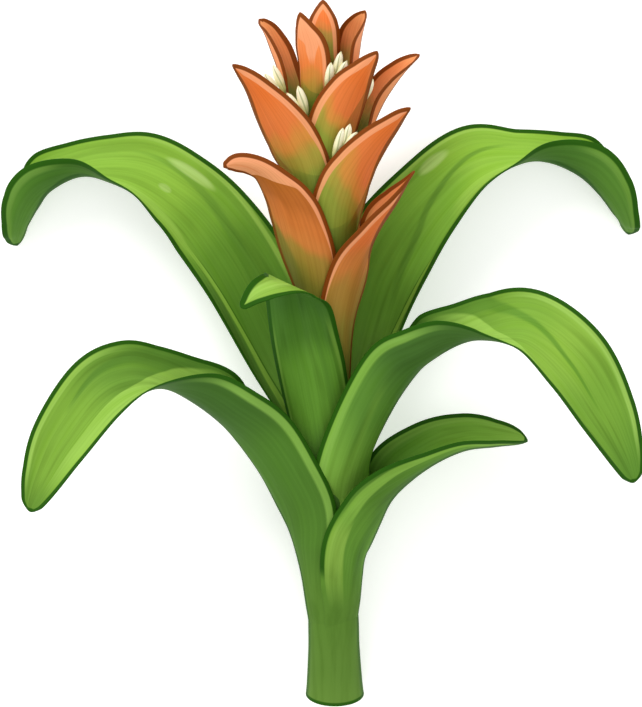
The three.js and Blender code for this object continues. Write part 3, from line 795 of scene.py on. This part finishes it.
# %% Upper left leaf
leaf(
    "leaf upper left", "leaf_up_left", "leaf_upper_left", [
        sheath(-140, 70, 12.6, 150),
        sheath(-140, 100, 13, 150),
        (-8, 143, -18, 40, 10, 90, 50, 150),
        (-21, 174.5, -26, 35, 15, 92, 56, 130),
        (-40, 215, -32, 30, 20, 93, 55, 95),
        (-58, 241.5, -34, 20, 30, 93, 51, 75),
        (-75, 256.8, -34, 22, 42, 88, 49, 84),
        (-91, 265, -34, 18, 64, 74, 50, 100),
        (-107, 267.5, -34, 5, 80, 59, 44, 112),
        (-122, 266.2, -34, -20, 94, 28, 45, 160),
        (-135.5, 259, -34.5, -52, 85, 12, 54, 195),
        (-142.5, 250.5, -36, -78, 57, -15, 46, 175),
        (-148, 242, -40.5, -87, 30, -40, 31.5, 122),
        (-150.8, 236.2, -45, -85, 25, -50, 21, 88),
        (-153.2, 231.2, -48.6, -75, 20, -65, 8.5, 50),
    ],
    foot=10, seed=1.3, lines=(2.8, 1.9),
    # Ramps, marks, spots and the band along its fold paint this leaf's light and shade.
    upper={0: "46702a", 22: "78a844", 42: "5e8e30", 52: "669531", 60: "78a638", 68: "8cb841", 82: "88b240",
           100: "7ba540"},
    under={0: "507a2c", 40: "5b862f", 70: "4b7229", 84: "487429", 93: "568430", 100: "638f38"},
    upper_marks=[
        ({40: 12, 49: 22, 54: 27, 59: 35, 63: 43, 68: 51, 76: 60},
         {40: 20, 54: 17, 63: 12, 70: 8, 76: 4}, 0.7, "517d29", 0.45),
        ({42: 80, 52: 82, 60: 88, 70: 90, 78: 90}, {42: 7, 78: 7}, 0.6, "a3cb5c", 0.65),
        ({55: -80, 62: -72, 70: -66, 80: -60, 90: -60},
         {55: 10, 65: 20, 75: 30, 90: 36}, 0.5, "9cc654", 0.55),
        ({20: -70, 30: -75, 45: -82, 56: -88}, {20: 30, 45: 17, 56: 10}, 0.3, "557f31", 0.8),
        ({20: -30, 30: -46, 37: -50, 46: -61, 56: -69, 66: -76},
         {20: 12, 33: 9, 45: 6, 66: 8}, 0.35, "8fbc48", 0.85),
        ({20: -20, 30: -35, 37: -43.5, 46: -54.5, 54: -62, 60: -68},
         {20: 3, 40: 2.2, 60: 1.2}, 0.5, "3c6a14", 0.8),
    ],
    under_marks=[
        ({83: -86, 92: -84, 100: -70}, {83: 10, 100: 20}, 0.7, "7aa346", 0.5),
    ],
    spots=[((0.66, 0.62), (0.045, 0.13), "b4d27c", 0.75), ((0.682, 0.02), (0.014, 0.1), "b4d27c", 0.5)],
    keel=({78: -62, 84: -38, 88: -18, 94: 8, 100: 20}, {78: 15, 100: 15}),
)

# %% Upper right leaf
leaf(
    "leaf upper right", "leaf_up_right", "leaf_upper_right", [
        sheath(140, 72, 12.6, 150),
        sheath(140, 102, 13, 150),
        (14.5, 150, -18, -40, 10, 90, 53, 150),
        (25.7, 200.5, -30, -35, 15, 92, 59, 110),
        (38.2, 229, -34, -30, 20, 93, 54.5, 85),
        (55.6, 252.4, -34, -20, 35, 90, 47, 75),
        (77.2, 270.6, -34, -30, 50, 80, 44.5, 88),
        (99.5, 274.6, -36, -5, 87, 47, 38, 100),
        (115, 273, -35.5, 28, 95, 16, 45, 160),
        (129.2, 266.6, -35.5, 43, 90, 8, 56.5, 200),
        (140, 257, -37, 75, 60, -12, 47.5, 177),
        (148.5, 246.4, -41, 87, 30, -38, 30, 118),
        (152.3, 241.2, -45.4, 85, 20, -50, 21, 88),
        (155, 236.8, -48.8, 70, 15, -70, 8.5, 50),
    ],
    foot=10, seed=9.6, lines=(1.9, 2.8),
    # Ramps, marks, spots and the band along its fold paint this leaf's light and shade.
    upper={0: "46702a", 22: "86b44c", 42: "6fa338", 52: "74a83a", 60: "7aab3b", 70: "8cb741", 82: "8fb944",
           100: "7ba540"},
    under={0: "507a2c", 40: "5b862f", 70: "4b7229", 84: "487429", 93: "5a8831", 100: "66933a"},
    upper_marks=[
        ({40: 42, 48: 30, 54: 22, 59: 2, 65: -18, 71: -36, 77: -60},
         {40: 10, 54: 12, 63: 10, 70: 8, 77: 5}, 0.7, "527f2a", 0.6),
        ({55: -82, 60: -88, 70: -90, 80: -90}, {55: 8, 80: 8}, 0.6, "a3cb5c", 0.65),
        ({60: 70, 68: 62, 76: 60, 84: 40}, {60: 20, 70: 30, 84: 40}, 0.5, "9cc654", 0.45),
        ({20: 80, 35: 86, 45: 95, 50: 99}, {20: 30, 40: 12, 50: 5}, 0.3, "5b8731", 0.8),
        ({20: 40, 33: 56, 36: 67, 40: 78, 44: 85, 50: 91, 58: 99, 64: 100},
         {20: 10, 36: 9, 45: 8, 64: 10}, 0.35, "8fbc48", 0.85),
        ({20: 28, 32.5: 47, 36: 58, 40: 69, 44.5: 76, 50: 82, 56: 90},
         {20: 3, 40: 2, 56: 1}, 0.5, "3c6a14", 0.8),
    ],
    under_marks=[
        ({83: 86, 92: 84, 100: 70}, {83: 10, 100: 20}, 0.7, "7aa346", 0.5),
    ],
    spots=[((0.643, -0.65), (0.03, 0.16), "b4d27c", 0.7)],
    keel=({78: 42, 84: 25, 88: 12, 94: -4, 100: -10}, {78: 15, 100: 15}),
)

# %% [markdown]
# ## Bracts
#
# The bracts of the near side are shaped one by one, from the bottom of the spike to its top.
# Those of the far side follow one rule: each leaves the stem at its azimuth, runs up along it and
# bends out to a point.

# %% Bract colours
# Ramps from foot to tip. A pale ramp paints a highlight on the strip of outside that shows along a
# near rim, and two colours paint shade in the hollows.
olive_foot = {0: "66782a", 26: "74862c", 38: "8c9636", 47: "a3963a", 56: "d08a3c", 66: "e07a3c",
              85: "e0712e", 100: "e58040"}
brown_foot = {0: "7c7830", 25: "8f8234", 44: "a57c34", 56: "cb7a3a", 70: "dc7238", 100: "dc7238"}
beak_foot = {0: "707428", 30: "857d2e", 42: "a08032", 50: "c97a38", 58: "c97332", 66: "b66627", 78: "b36522",
             100: "c07838"}
pale_rim = {0: "7a7a30", 40: "b08038", 58: "e58a54", 80: "f09e6c", 100: "f0a070"}
top_foot = {0: "6f8028", 34: "7d8a2c", 42: "a88f38", 52: "d0883c", 62: "e88240", 80: "ee8a4c", 100: "f4a878"}
back_foot = {0: "7a8030", 58: "8f8a38", 70: "b08c40", 77: "d8803e", 84: "e87a3a", 100: "e8803c"}
brown_back = {0: "7a8438", 52: "929648", 62: "b08c48", 72: "d88650", 85: "e08850", 100: "e8985e"}
shade_brown = "8a5a1c"
shade_olive = "66782a"
print("bract ramps ready")

# %% [markdown]
# A near bract's look is its ramp, the width of the painted salmon highlight on each rim, how far the
# border of green and orange leans, the band of painted shade where it turns its back, and its marks.
# The marks paint shade in its hollows and a highlight on the second bract's beak, and give the
# seventh its salmon point and the second an olive patch.

# %% Bract looks
bract_looks = {
    "bract_01": dict(
        outside=brown_foot, light=(0, 2), lean=0.05,
        fold=({0: -34, 20: -46, 45: -54, 52: -50, 60: -16, 70: 20, 80: 35, 100: 50},
              {0: 20, 70: 20, 90: 30, 100: 40}),
        marks=[
            ({10: -5, 40: 0, 60: 5, 80: 40}, {10: 20, 80: 20}, 0.6, shade_brown, 0.35),
        ],
    ),
    "bract_02": dict(
        outside=beak_foot, light=(2.2, 0), lean=-0.16,
        fold=({0: 34, 20: 52, 30: 64, 40: 75, 50: 82, 70: 85, 80: 95}, {0: 20, 70: 19, 80: 10}),
        marks=[
            ({10: 30, 36: 40, 50: 60, 60: 80}, {10: 60, 36: 40, 60: 25}, 0.4, "6f7024", 0.7),
            ({64: -95, 68: -85, 75: -55, 82: -25, 87: 0, 100: 0},
             {64: 10, 70: 20, 76: 40, 83: 70, 87: 100, 100: 100}, 0.12, "f0a472", 0.9),
            ({80: 10, 88: 15, 100: 0}, {80: 10, 100: 25}, 0.9, "dd8650", 0.5),
        ],
    ),
    "bract_03": dict(
        outside=olive_foot, light=(0, 2.8), lean=-0.12,
        fold=({0: -40, 20: -62, 30: -75, 40: -83, 60: -84, 75: -74, 88: -65, 100: -50},
              {0: 20, 60: 19, 75: 26, 100: 40}),
        marks=[
            ({30: -60, 42: -85, 60: -100, 72: -100},
             {30: 90, 36: 60, 42: 50, 60: 30, 72: 15}, 0.1, shade_brown, 0.6),
            ({0: 0, 30: 0, 36: -60, 42: -90}, {0: 150, 30: 130, 36: 70, 42: 50}, 0.12, shade_olive, 0.6),
        ],
    ),
    "bract_04": dict(
        outside=olive_foot, light=(2.8, 0), lean=0.02,
        fold=({0: 30, 20: 53, 30: 68, 40: 80, 64: 82, 78: 74, 91: 64, 100: 50},
              {0: 20, 64: 19, 78: 27, 100: 40}),
        marks=[
            ({34: 50, 43: 72, 50: 78, 66: 85, 85: 92},
             {34: 60, 43: 45, 50: 30, 66: 25, 85: 15}, 0.1, shade_brown, 0.6),
            ({0: 0, 34: 0, 39: 40, 46: 80}, {0: 150, 34: 130, 39: 80, 46: 40}, 0.12, shade_olive, 0.6),
        ],
    ),
    "bract_05": dict(
        outside=olive_foot, light=(0, 3.2), lean=-0.15,
        fold=({0: -60, 20: -75, 30: -82, 50: -85, 72: -82, 93: -65, 100: -50},
              {0: 22, 50: 17, 72: 20, 93: 35, 100: 50}),
        marks=[
            ({40: -45, 51: -58, 64: -72, 82: -95, 90: -100},
             {40: 50, 51: 46, 64: 38, 82: 22, 90: 10}, 0.1, shade_brown, 0.55),
            ({0: 0, 36: -10, 42: -50}, {0: 150, 34: 90, 42: 40}, 0.2, shade_olive, 0.5),
        ],
    ),
    "bract_06": dict(
        outside=pale_rim, lines=(2.2, 1.5),
        fold=({0: 44, 20: 56, 40: 67, 50: 62, 60: 46, 70: 38, 80: 44, 88: 62, 100: 85}, {0: 15, 100: 15}),
    ),
    "bract_07": dict(
        outside=top_foot, light=(2, 0.8), lines=(2.4, 2.4),
        fold=({0: 60, 20: 72, 40: 85, 60: 90, 80: 92}, {0: 20, 40: 16, 80: 14}),
        marks=[
            ({60: -10, 70: -10, 78: -25, 84: -20, 90: 0, 100: 0},
             {60: 10, 68: 22, 78: 50, 84: 90, 90: 120, 100: 120}, 0.15, salmon, 0.85),
            ({0: 0, 36: 0, 43: 50, 52: 90}, {0: 130, 34: 100, 43: 45, 52: 15}, 0.15, shade_olive, 0.55),
        ],
    ),
    "bract_08": dict(
        outside=pale_rim, lines=(1.5, 2.4),
        fold=({0: -46, 20: -57, 40: -66, 50: -66, 60: -54, 70: -44, 88: -52, 100: -75}, {0: 15, 100: 15}),
    ),
    "bract_09": dict(
        outside=pale_rim, lines=(2.2, 1.5),
        fold=({0: 10, 20: 35, 30: 49, 40: 54, 50: 49, 60: 41, 70: 38, 80: 44, 100: 85}, {0: 14, 100: 14}),
    ),
    "bract_10": dict(outside=back_foot, light=(2.4, 2.4), lines=(2.7, 2.7)),
}
print("looks for", len(bract_looks), "near bracts")

# %% [markdown]
# The near bracts' stations, in the same form as the leaves'. The first of each wraps the stem.

# %% Shapes of the near bracts
near_bracts = {
    "bract_01": [
        sheath(50, 158, 10, 150),
        (12.5, 190, 14, -70, 15, -70, 30, 130),
        (18.5, 215, 18, -68, 20, -70, 32, 130),
        (28.8, 238, 22, -80, 50, 10, 31, 172),
        (37.5, 252, 25, -75, 60, 30, 20, 165),
        (43, 262, 27, -70, 60, 30, 7, 120),
        (46.5, 267.5, 28, -70, 60, 30, 1, 60),
    ],
    "bract_02": [
        sheath(-48, 185, 10, 150),
        (-9.8, 218, 17, 50, 15, -80, 38, 130),
        (-14.8, 240, 20, 45, 15, -85, 36, 120),
        (-19, 252, 22, 45, 30, -85, 30, 110),
        (-24, 260.7, 24.5, 40, 40, -85, 21, 95),
        (-29, 266.5, 27, 30, 45, -85, 15, 85),
        (-35.5, 270, 29, 10, 45, -88, 12, 75),
        (-42, 271, 30, 0, 40, -90, 10, 70),
        (-46.5, 270.2, 30.5, 0, 40, -90, 5.5, 65),
        (-48.5, 269.2, 30.5, 0, 40, -90, 1, 60),
    ],
    "bract_03": [
        sheath(45, 203, 9, 150),
        (10.8, 241, 16, -42, 20, -90, 33.5, 125),
        (14.3, 258, 20, -42, 20, -90, 34, 120),
        (19.6, 269.8, 22.5, -42, 30, -88, 28, 110),
        (27, 280.5, 25, -42, 40, -85, 21, 95),
        (35, 289.5, 27, -40, 50, -80, 13.5, 85),
        (40, 295, 28, -40, 50, -80, 7.5, 80),
        (44.5, 298.8, 28, -40, 50, -80, 1, 60),
    ],
    "bract_04": [
        sheath(-50, 225, 8.5, 150),
        (-9.5, 263, 15, 42, 20, -90, 32, 125),
        (-16.5, 280, 19, 42, 20, -90, 34, 120),
        (-24.5, 294.5, 22, 42, 35, -85, 28, 105),
        (-32.5, 307.5, 24, 40, 50, -80, 17, 90),
        (-39, 315.5, 25, 40, 50, -80, 9, 80),
        (-44, 320.3, 25.5, 40, 50, -80, 1, 60),
    ],
    "bract_05": [
        sheath(25, 245, 7, 150),
        (6.5, 275, 13, -35, 10, -90, 29, 125),
        (9.5, 292, 17, -35, 15, -90, 32, 120),
        (15.5, 307, 19.5, -35, 25, -90, 25, 105),
        (21.5, 317, 21, -35, 30, -90, 14.5, 90),
        (26, 323.5, 21.5, -35, 30, -90, 7, 80),
        (28, 327, 21.5, -35, 30, -90, 1, 60),
    ],
    "bract_06": [
        sheath(115, 240, 7, 150),
        (20, 280, -6, -68, 34, 60, 25, 130),
        (29, 299.5, -8, -80, 48, 36, 28, 135),
        (35.5, 310.5, -10, -78, 50, 38, 26, 130),
        (41, 318.3, -12, -66, 52, 50, 16.5, 115),
        (45.5, 323.2, -13.5, -50, 50, 65, 8, 100),
        (49.3, 326.2, -14.5, -35, 50, 80, 1, 60),
    ],
    "bract_07": [
        sheath(-28, 280, 5, 150),
        (-4.5, 303, 9, 40, 5, -90, 18, 120),
        (-5, 320, 12, 40, 5, -90, 20, 110),
        (-6.3, 330, 12.5, 35, 10, -90, 18.5, 105),
        (-8.6, 338, 12, 30, 20, -90, 11.5, 95),
        (-9.9, 343, 11, 30, 20, -90, 6, 85),
        (-10.5, 346.5, 10, 30, 20, -90, 1, 60),
    ],
    "bract_08": [
        sheath(-115, 262, 6, 150),
        (-14, 300, -5, 75, 20, 60, 19, 130),
        (-19.5, 316, -6, 85, 20, 45, 22, 150),
        (-23.5, 327, -8, 85, 20, 45, 22, 155),
        (-27, 336.5, -10, 80, 25, 50, 16, 130),
        (-29.5, 341.5, -11.5, 60, 40, 70, 8, 100),
        (-31, 343.8, -12, 50, 45, 70, 1, 60),
    ],
    "bract_09": [
        sheath(85, 285, 4.5, 150),
        (14.5, 308, 0, -86, 10, 50, 23, 140),
        (17.8, 325, 0, -92, 10, 37, 28, 140),
        (19.2, 335, 0, -90, 15, 40, 26, 135),
        (20.6, 342.5, 0.5, -75, 30, 60, 14.5, 115),
        (22, 347.7, 1, -50, 35, 80, 1, 60),
    ],
    "bract_10": [
        sheath(0, 295, 3.5, 150),
        (1.5, 318, 6, 0, 0, -100, 18, 130),
        (1, 335, 6, 0, -5, -100, 19, 110),
        (1, 343, 4.5, 0, -10, -100, 15.5, 100),
        (1, 348.5, 2.5, 0, -10, -100, 9, 90),
        (1, 353, 0, 0, -10, -100, 1, 60),
    ],
}
print("shaped", ", ".join(near_bracts))

# %% Near bracts
seed_step = 1.7


def bract(name, node, stations, seed, **looks):
    """Mixes a bract's own finish and lofts the bract."""
    paint = bract_paint(name.replace("_", " "), inside=brown_back, seed=seed, **looks)
    blade(name, node, stations, bract_thickness, paint, foot=6, round_tip=1.5)


for number, (name, stations) in enumerate(near_bracts.items()):
    bract(name + "_fine", name, stations, seed_step * number, **bract_looks[name])

# %% [markdown]
# A far bract is written as its azimuth, its foot's place along the stem, its tip and its width. Its
# midrib is a bend drawn from foot to tip: it leaves along the stem and arrives splayed outwards.
# The root hugs the stem at a share of the bract's width, and the far shape says how wide it is and
# how much it curls from foot to tip.

# %% Far bracts
far_bracts = [
    (-140, 170, (-14, 250, -30), 32),
    (150, 180, (18, 256, -32), 32),
    (-165, 212, (-12, 285, -31), 30),
    (165, 225, (16, 296, -29), 30),
    (-150, 255, (-10, 322, -22), 25),
    (160, 268, (12, 330, -18), 22),
    (180, 295, (2, 345, -9), 16),
]
far_shape = [(0, 0.75, 150), (0.25, 0.95, 135), (0.5, 1, 115), (0.75, 0.68, 100), (0.9, 0.3, 90),
             (1, 0.04, 60)]
far_hug, far_wrap = 0.3, 150
far_run, far_rise = 0.45, 0.08
far_splay, far_reach = 0.5, 0.35
far_seed, far_seed_step = 20, 2.3
axis_direction = unit(np.array([(stem_tip_x - stem_foot_x) / plant_length, 1, stem_rise]))


def far_stations(azimuth, foot_y, tip, wide):
    """A bract's stations from its root round the stem, its tip and its width."""
    root = np.array(sheath(azimuth, foot_y, far_hug * wide, far_wrap))
    face = root[3:6]
    start, end = (point + [0, 0, axis_z(point[1])] for point in (root[:3], np.array(tip)))
    length = np.linalg.norm(end - start)
    first = start + axis_direction * far_run * length - face * far_rise * length
    second = end - unit(axis_direction - face * far_splay) * far_reach * length
    rows = []
    for t, share, curl in far_shape:
        x, y, z = (1 - t)**3 * start + 3 * (1 - t)**2 * t * first + 3 * (1 - t) * t**2 * second + t**3 * end
        rows.append((x, y, z - axis_z(y), *face, wide * share, curl))
    return rows


for number, far in enumerate(far_bracts, 1):
    seed = far_seed + far_seed_step * number
    # Each far bract gets a painted salmon highlight along both rims.
    bract(f"bract_far_{number}", f"bract_back_{number}", far_stations(*far), seed,
          outside=olive_foot, light=(2.5, 2.5))

# %% [markdown]
# ## Flower buds
#
# A closed guzmania flower is a slim cream bud of three petals rolled round each other, greenish at
# its foot. Each bunch has one to three of them. They all follow one rule, so Geometry Nodes make
# them: every edge from a root to a tip becomes a curve, a three-lobed outline is swept along it,
# and its radius swells and closes to a point. The petals' seams twist a little along the bud.

# %% Bud finish
three_petals = 18.85
seam_twist = 0.12
bud_colours = {0: "8f9a4c", 25: "c9c784", 50: "efeabc", 90: "f8f4d6", 100: "e6e2b0"}

bud_paint, tree, inputs = new_paint("flower bud")
along = stored(tree, "bud_along")
twisted = calc(tree, "ADD", stored(tree, "bud_around"), times(tree, along, seam_twist))
seam = fade(tree, calc(tree, "COSINE", times(tree, twisted, three_petals)), -0.75, -1.0)
body = mix(tree, times(tree, seam, 0.75), ramp(tree, along, bud_colours), colour("97a268"))
feed(tree, inputs["Base Color"], body)
satin = cloud(tree, tree.nodes.new("ShaderNodeTexCoord").outputs["Object"], 700)
feed(tree, inputs["Roughness"], fade(tree, satin, 0.2, 0.8, 0.42, 0.6))
inputs["Specular IOR Level"].default_value = 0.35
print("bud finish ready")

# %% Bud tree
bud_settings = {"Radius": 0.0023, "Petal groove": 0.07, "Size spread": 0.08, "Seed": 4}
bud_swell = [(0.0, 0.1), (0.08, 0.5), (0.3, 0.86), (0.52, 1.0), (0.78, 0.78), (0.93, 0.36), (1.0, 0.02)]

bud_tree = bpy.data.node_groups.new("bud bunch", "GeometryNodeTree")
for way in ("INPUT", "OUTPUT"):
    bud_tree.interface.new_socket("Geometry", in_out=way, socket_type="NodeSocketGeometry")
bud_inputs = {}
for label, number in bud_settings.items():
    kind = "NodeSocketInt" if label == "Seed" else "NodeSocketFloat"
    socket = bud_tree.interface.new_socket(label, in_out="INPUT", socket_type=kind)
    socket.default_value = number
    bud_inputs[label] = socket.identifier


def put(kind, **links):
    """Adds a node to the bud tree, feeds its inputs by name and hands the node back."""
    node = bud_tree.nodes.new(kind)
    for key, value in links.items():
        feed(bud_tree, node.inputs[key.replace("_", " ")], value)
    return node


given = bud_tree.nodes.new("NodeGroupInput").outputs
curves = put("GeometryNodeMeshToCurve", Mesh=given["Geometry"]).outputs[0]
curves = put("GeometryNodeResampleCurve", Curve=curves, Count=26).outputs[0]
place_along = put("GeometryNodeSplineParameter").outputs["Factor"]
swell = put("ShaderNodeFloatCurve", Value=place_along)
ends = swell.mapping.curves[0].points
ends[0].location, ends[1].location = bud_swell[0], bud_swell[-1]
for place in bud_swell[1:-1]:
    ends.new(*place)
swell.mapping.update()
chance = put("FunctionNodeRandomValue", Seed=given["Seed"])
chance.inputs[2].default_value = -1
chance.inputs[3].default_value = 1
on_spline = bud_tree.nodes.new("GeometryNodeFieldOnDomain")
on_spline.domain = "CURVE"
spread = times(bud_tree, chance.outputs[1], given["Size spread"])
feed(bud_tree, on_spline.inputs[0], calc(bud_tree, "ADD", 1.0, spread))
radius = times(bud_tree, times(bud_tree, swell.outputs[0], given["Radius"]), on_spline.outputs[0])
curves = put("GeometryNodeSetCurveRadius", Curve=curves, Radius=radius).outputs[0]
print("bud tree inputs", list(bud_inputs))

# %% Bud outline and sweep
def keep(geometry, name, value):
    """Stores a value on a curve's points, for the finish to read."""
    return put("GeometryNodeStoreNamedAttribute", Geometry=geometry, Name=name, Value=value).outputs[0]


outline = put("GeometryNodeCurvePrimitiveCircle", Resolution=36, Radius=1.0).outputs[0]
turn_share = put("GeometryNodeSplineParameter").outputs["Factor"]
lobe = calc(bud_tree, "COSINE", times(bud_tree, turn_share, three_petals))
lobe = calc(bud_tree, "ADD", 1.0, times(bud_tree, lobe, given["Petal groove"]))
grow = put("ShaderNodeVectorMath", Vector=put("GeometryNodeInputPosition").outputs[0])
grow.operation = "SCALE"
feed(bud_tree, grow.inputs["Scale"], lobe)
outline = put("GeometryNodeSetPosition", Geometry=outline, Position=grow.outputs[0]).outputs[0]
sweep = put("GeometryNodeCurveToMesh", Curve=keep(curves, "bud_along", place_along),
            Profile_Curve=keep(outline, "bud_around", turn_share), Fill_Caps=True)
if "Scale" in sweep.inputs:
    feed(bud_tree, sweep.inputs["Scale"], put("GeometryNodeInputRadius").outputs[0])
joined = put("GeometryNodeRealizeInstances", Geometry=sweep.outputs[0]).outputs[0]
coated = put("GeometryNodeSetMaterial", Geometry=joined, Material=bud_paint).outputs[0]
feed(bud_tree, bud_tree.nodes.new("NodeGroupOutput").inputs[0], coated)
print("bud tree nodes", len(bud_tree.nodes))

# %% [markdown]
# Each bud below is its tip's place and then its root's. A bunch is a mesh of bare edges from root
# to tip, which the tree grows to buds. The result is kept as a plain mesh.

# %% Bunches of buds
bunches = {
    "flowers_1": [(-28, 316, 12, -21, 304, 8), (-24, 320.5, 6, -18, 306, 5)],
    "flowers_2": [(-17, 306.5, 14, -10, 294, 12), (-11.5, 310, 12, -7, 294, 11)],
    "flowers_3": [(5, 321.5, 15, 3, 307, 12), (10, 327, 12, 6, 312, 10), (13, 322.5, 13, 6, 309, 11)],
    "flowers_4": [(26, 313.5, 5, 18.5, 300, 3)],
    "flowers_5": [(11, 289, 22, 6, 273.5, 19), (14.5, 291, 20, 10, 277, 19), (18, 287, 21, 10, 275, 19)],
    "flowers_back_1": [(9, 257, -24, 6, 242, -16), (13, 253, -25, 9, 240, -16)],
    "flowers_back_2": [(-3, 285, -22, -1, 270, -15), (-7, 282, -23, -4, 268, -16)],
    "flowers_back_3": [(-2, 322, -14, 0, 307, -9), (-6, 320, -16, -3, 306, -10)],
}


def in_row(x, y, front):
    return tuple((np.array([x, y, axis_z(y) + front]) + row_shift) / 1000)


for number, (name, buds) in enumerate(bunches.items()):
    ends = [in_row(*bud[k:k + 3]) for bud in buds for k in (3, 0)]
    sticks = bpy.data.meshes.new(name + "_sticks")
    sticks.from_pydata(ends, [(2 * i, 2 * i + 1) for i in range(len(buds))], [])
    carrier = bpy.data.objects.new(name + "_sticks", sticks)
    bpy.context.collection.objects.link(carrier)
    grow_buds = carrier.modifiers.new("buds", "NODES")
    grow_buds.node_group = bud_tree
    for label, value in bud_settings.items():
        grow_buds[bud_inputs[label]] = value + number if label == "Seed" else value
    made = carrier.evaluated_get(bpy.context.evaluated_depsgraph_get())
    mesh = bpy.data.meshes.new_from_object(made)
    carrier.modifiers.clear()
    bpy.data.objects.remove(carrier)
    mesh.name = name + "_fine"
    mesh.shade_smooth()
    stand_in(name + "_fine", mesh, name)

# %% [markdown]
# ## Stem
#
# The bare stem is a round green column, a little wider at its foot, with faint streaks along it.
# It wears the same skin as the sheaths that clasp it, with painted shade down its two sides. It is
# lofted round its sloping axis like a lathe would turn it, with a slanted cut at the foot.
#
# Its mesh stores the same values as a blade's. The second is the sine of the angle round the stem:
# 0 in front and behind, 1 at its sides, with no jump anywhere round it. The third marks the cut.

# %% Stem finish
stem_paint, tree, inputs = new_paint("stem")
along, sideways, cut, rim = blade_coordinates(tree)
streaks = grain(tree, (along, sideways), (6.0, 4.0), 2.0, 1.0, 3.0)
skin, _ = trunk_skin(tree)
# Painted shade: the skin darkens towards the stem's two sides.
flank = fade(tree, calc(tree, "ABSOLUTE", sideways), 0.87, 0.965, 0.0, 0.75)
skin = mix(tree, flank, skin, colour(outline_green))
skin = mix(tree, fade(tree, rim, 2.1, 1.3), skin, colour(outline_green))
pith = ramp(tree, rim, {0: "4c7a24", 12: "b9cc8a", 30: "dfe6bb", 100: "e8ecc8"})
skin = mix(tree, fade(tree, cut, 0.4, 0.6), skin, pith)
coat(tree, inputs, skin, relief=streaks, strength=0.2, depth=0.0004,
     uneven=streaks, roughness=(0.5, 0.66), gloss=plant_gloss)
print("stem finish ready")

# %% Stem profile
stem_length = 334
cut_slant = np.radians(24)
cut_height = 6.5
stem_profile = [(13.2, 0), (15, 2), (14, 12), (12.9, 30), (12.7, 44), (11.8, 60), (10.5, 80), (9.5, 110),
                (8.5, 150), (7.5, 190), (6.5, 240), (5, 290), (3, 325), (0.3, stem_length)]
stem_sides = 72
stem_rings = 110
fine_profile = through(stem_profile, np.linspace(0, 1, 400))
turns = np.linspace(0, 2 * np.pi, stem_sides, endpoint=False)
right = unit(np.cross(axis_direction, [0, 0, 1]))
front = np.cross(right, axis_direction)
spokes = np.outer(np.sin(turns), right) + np.outer(np.cos(turns), front)
foot_point = np.array([stem_foot_x, 0, axis_height])


def skin_point(distance, spoke):
    """A point on the stem's skin, at a distance along its axis and in one spoke's direction."""
    radius = np.interp(distance, fine_profile[:, 1], fine_profile[:, 0])
    return foot_point + axis_direction * distance + spoke * radius


print("stem sides", stem_sides, "rings", stem_rings)

# %% [markdown]
# The cut slants, so its front edge is the lowest. Each of the stem's lines starts where it meets
# the plane of the cut, which leaves a clean rim with no ragged triangles along it.

# %% Stem skin mesh
cut_middle = np.array([stem_foot_x, cut_height, axis_height])
cut_normal = np.array([0, np.cos(cut_slant), np.sin(cut_slant)])
tries = np.linspace(-4, 30, 341)
starts = []
for spoke in spokes:
    above = [np.dot(skin_point(d, spoke) - cut_middle, cut_normal) for d in tries]
    starts.append(np.interp(0, above, tries))

points, marks, rims = [], [], []
for share in np.linspace(0, 1, stem_rings) ** 1.5:
    for spoke, begin, turn in zip(spokes, starts, turns):
        distance = begin + (stem_length - begin) * share
        points.append(skin_point(distance, spoke))
        marks.append((distance / stem_length, np.sin(turn), 0.0))
        rims.append(distance - begin)
print("cut starts between", round(min(starts), 1), "and", round(max(starts), 1))

# %% Cut face and stem piece
cut_edge = np.array(points[:stem_sides])
cut_centre = cut_edge.mean(axis=0)
cut_shares = [0.985, 0.86, 0.7, 0.5, 0.3, 0.12]
for share in cut_shares:
    points.extend(cut_centre + (cut_edge - cut_centre) * share)
points.append(cut_centre)
cut_rims = np.append(np.repeat(cut_shares, stem_sides), 0)
marks += [(0.0, 0.0, 1.0)] * len(cut_rims)
rims.extend(1 - cut_rims)

ring_starts = [i * stem_sides for i in range(stem_rings + len(cut_shares))]
cut_starts = [0] + ring_starts[stem_rings:]
skin_pairs = zip(ring_starts[:stem_rings - 1], ring_starts[1:stem_rings])
faces = [tuple(ring_starts[stem_rings - 1] + j for j in range(stem_sides))]
for low, high in [*skin_pairs, *zip(cut_starts[1:], cut_starts)]:
    for j in range(stem_sides):
        k = (j + 1) % stem_sides
        faces.append((low + j, low + k, high + k, high + j))
for j in range(stem_sides):
    faces.append((cut_starts[-1] + j, len(points) - 1, cut_starts[-1] + (j + 1) % stem_sides))
stand_in("stem_fine", closed_mesh("stem_fine", points, faces, marks, rims, stem_paint), "stem")

# %% Sizes and finish
low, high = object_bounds()
print("visual box", tuple(low), tuple(high))
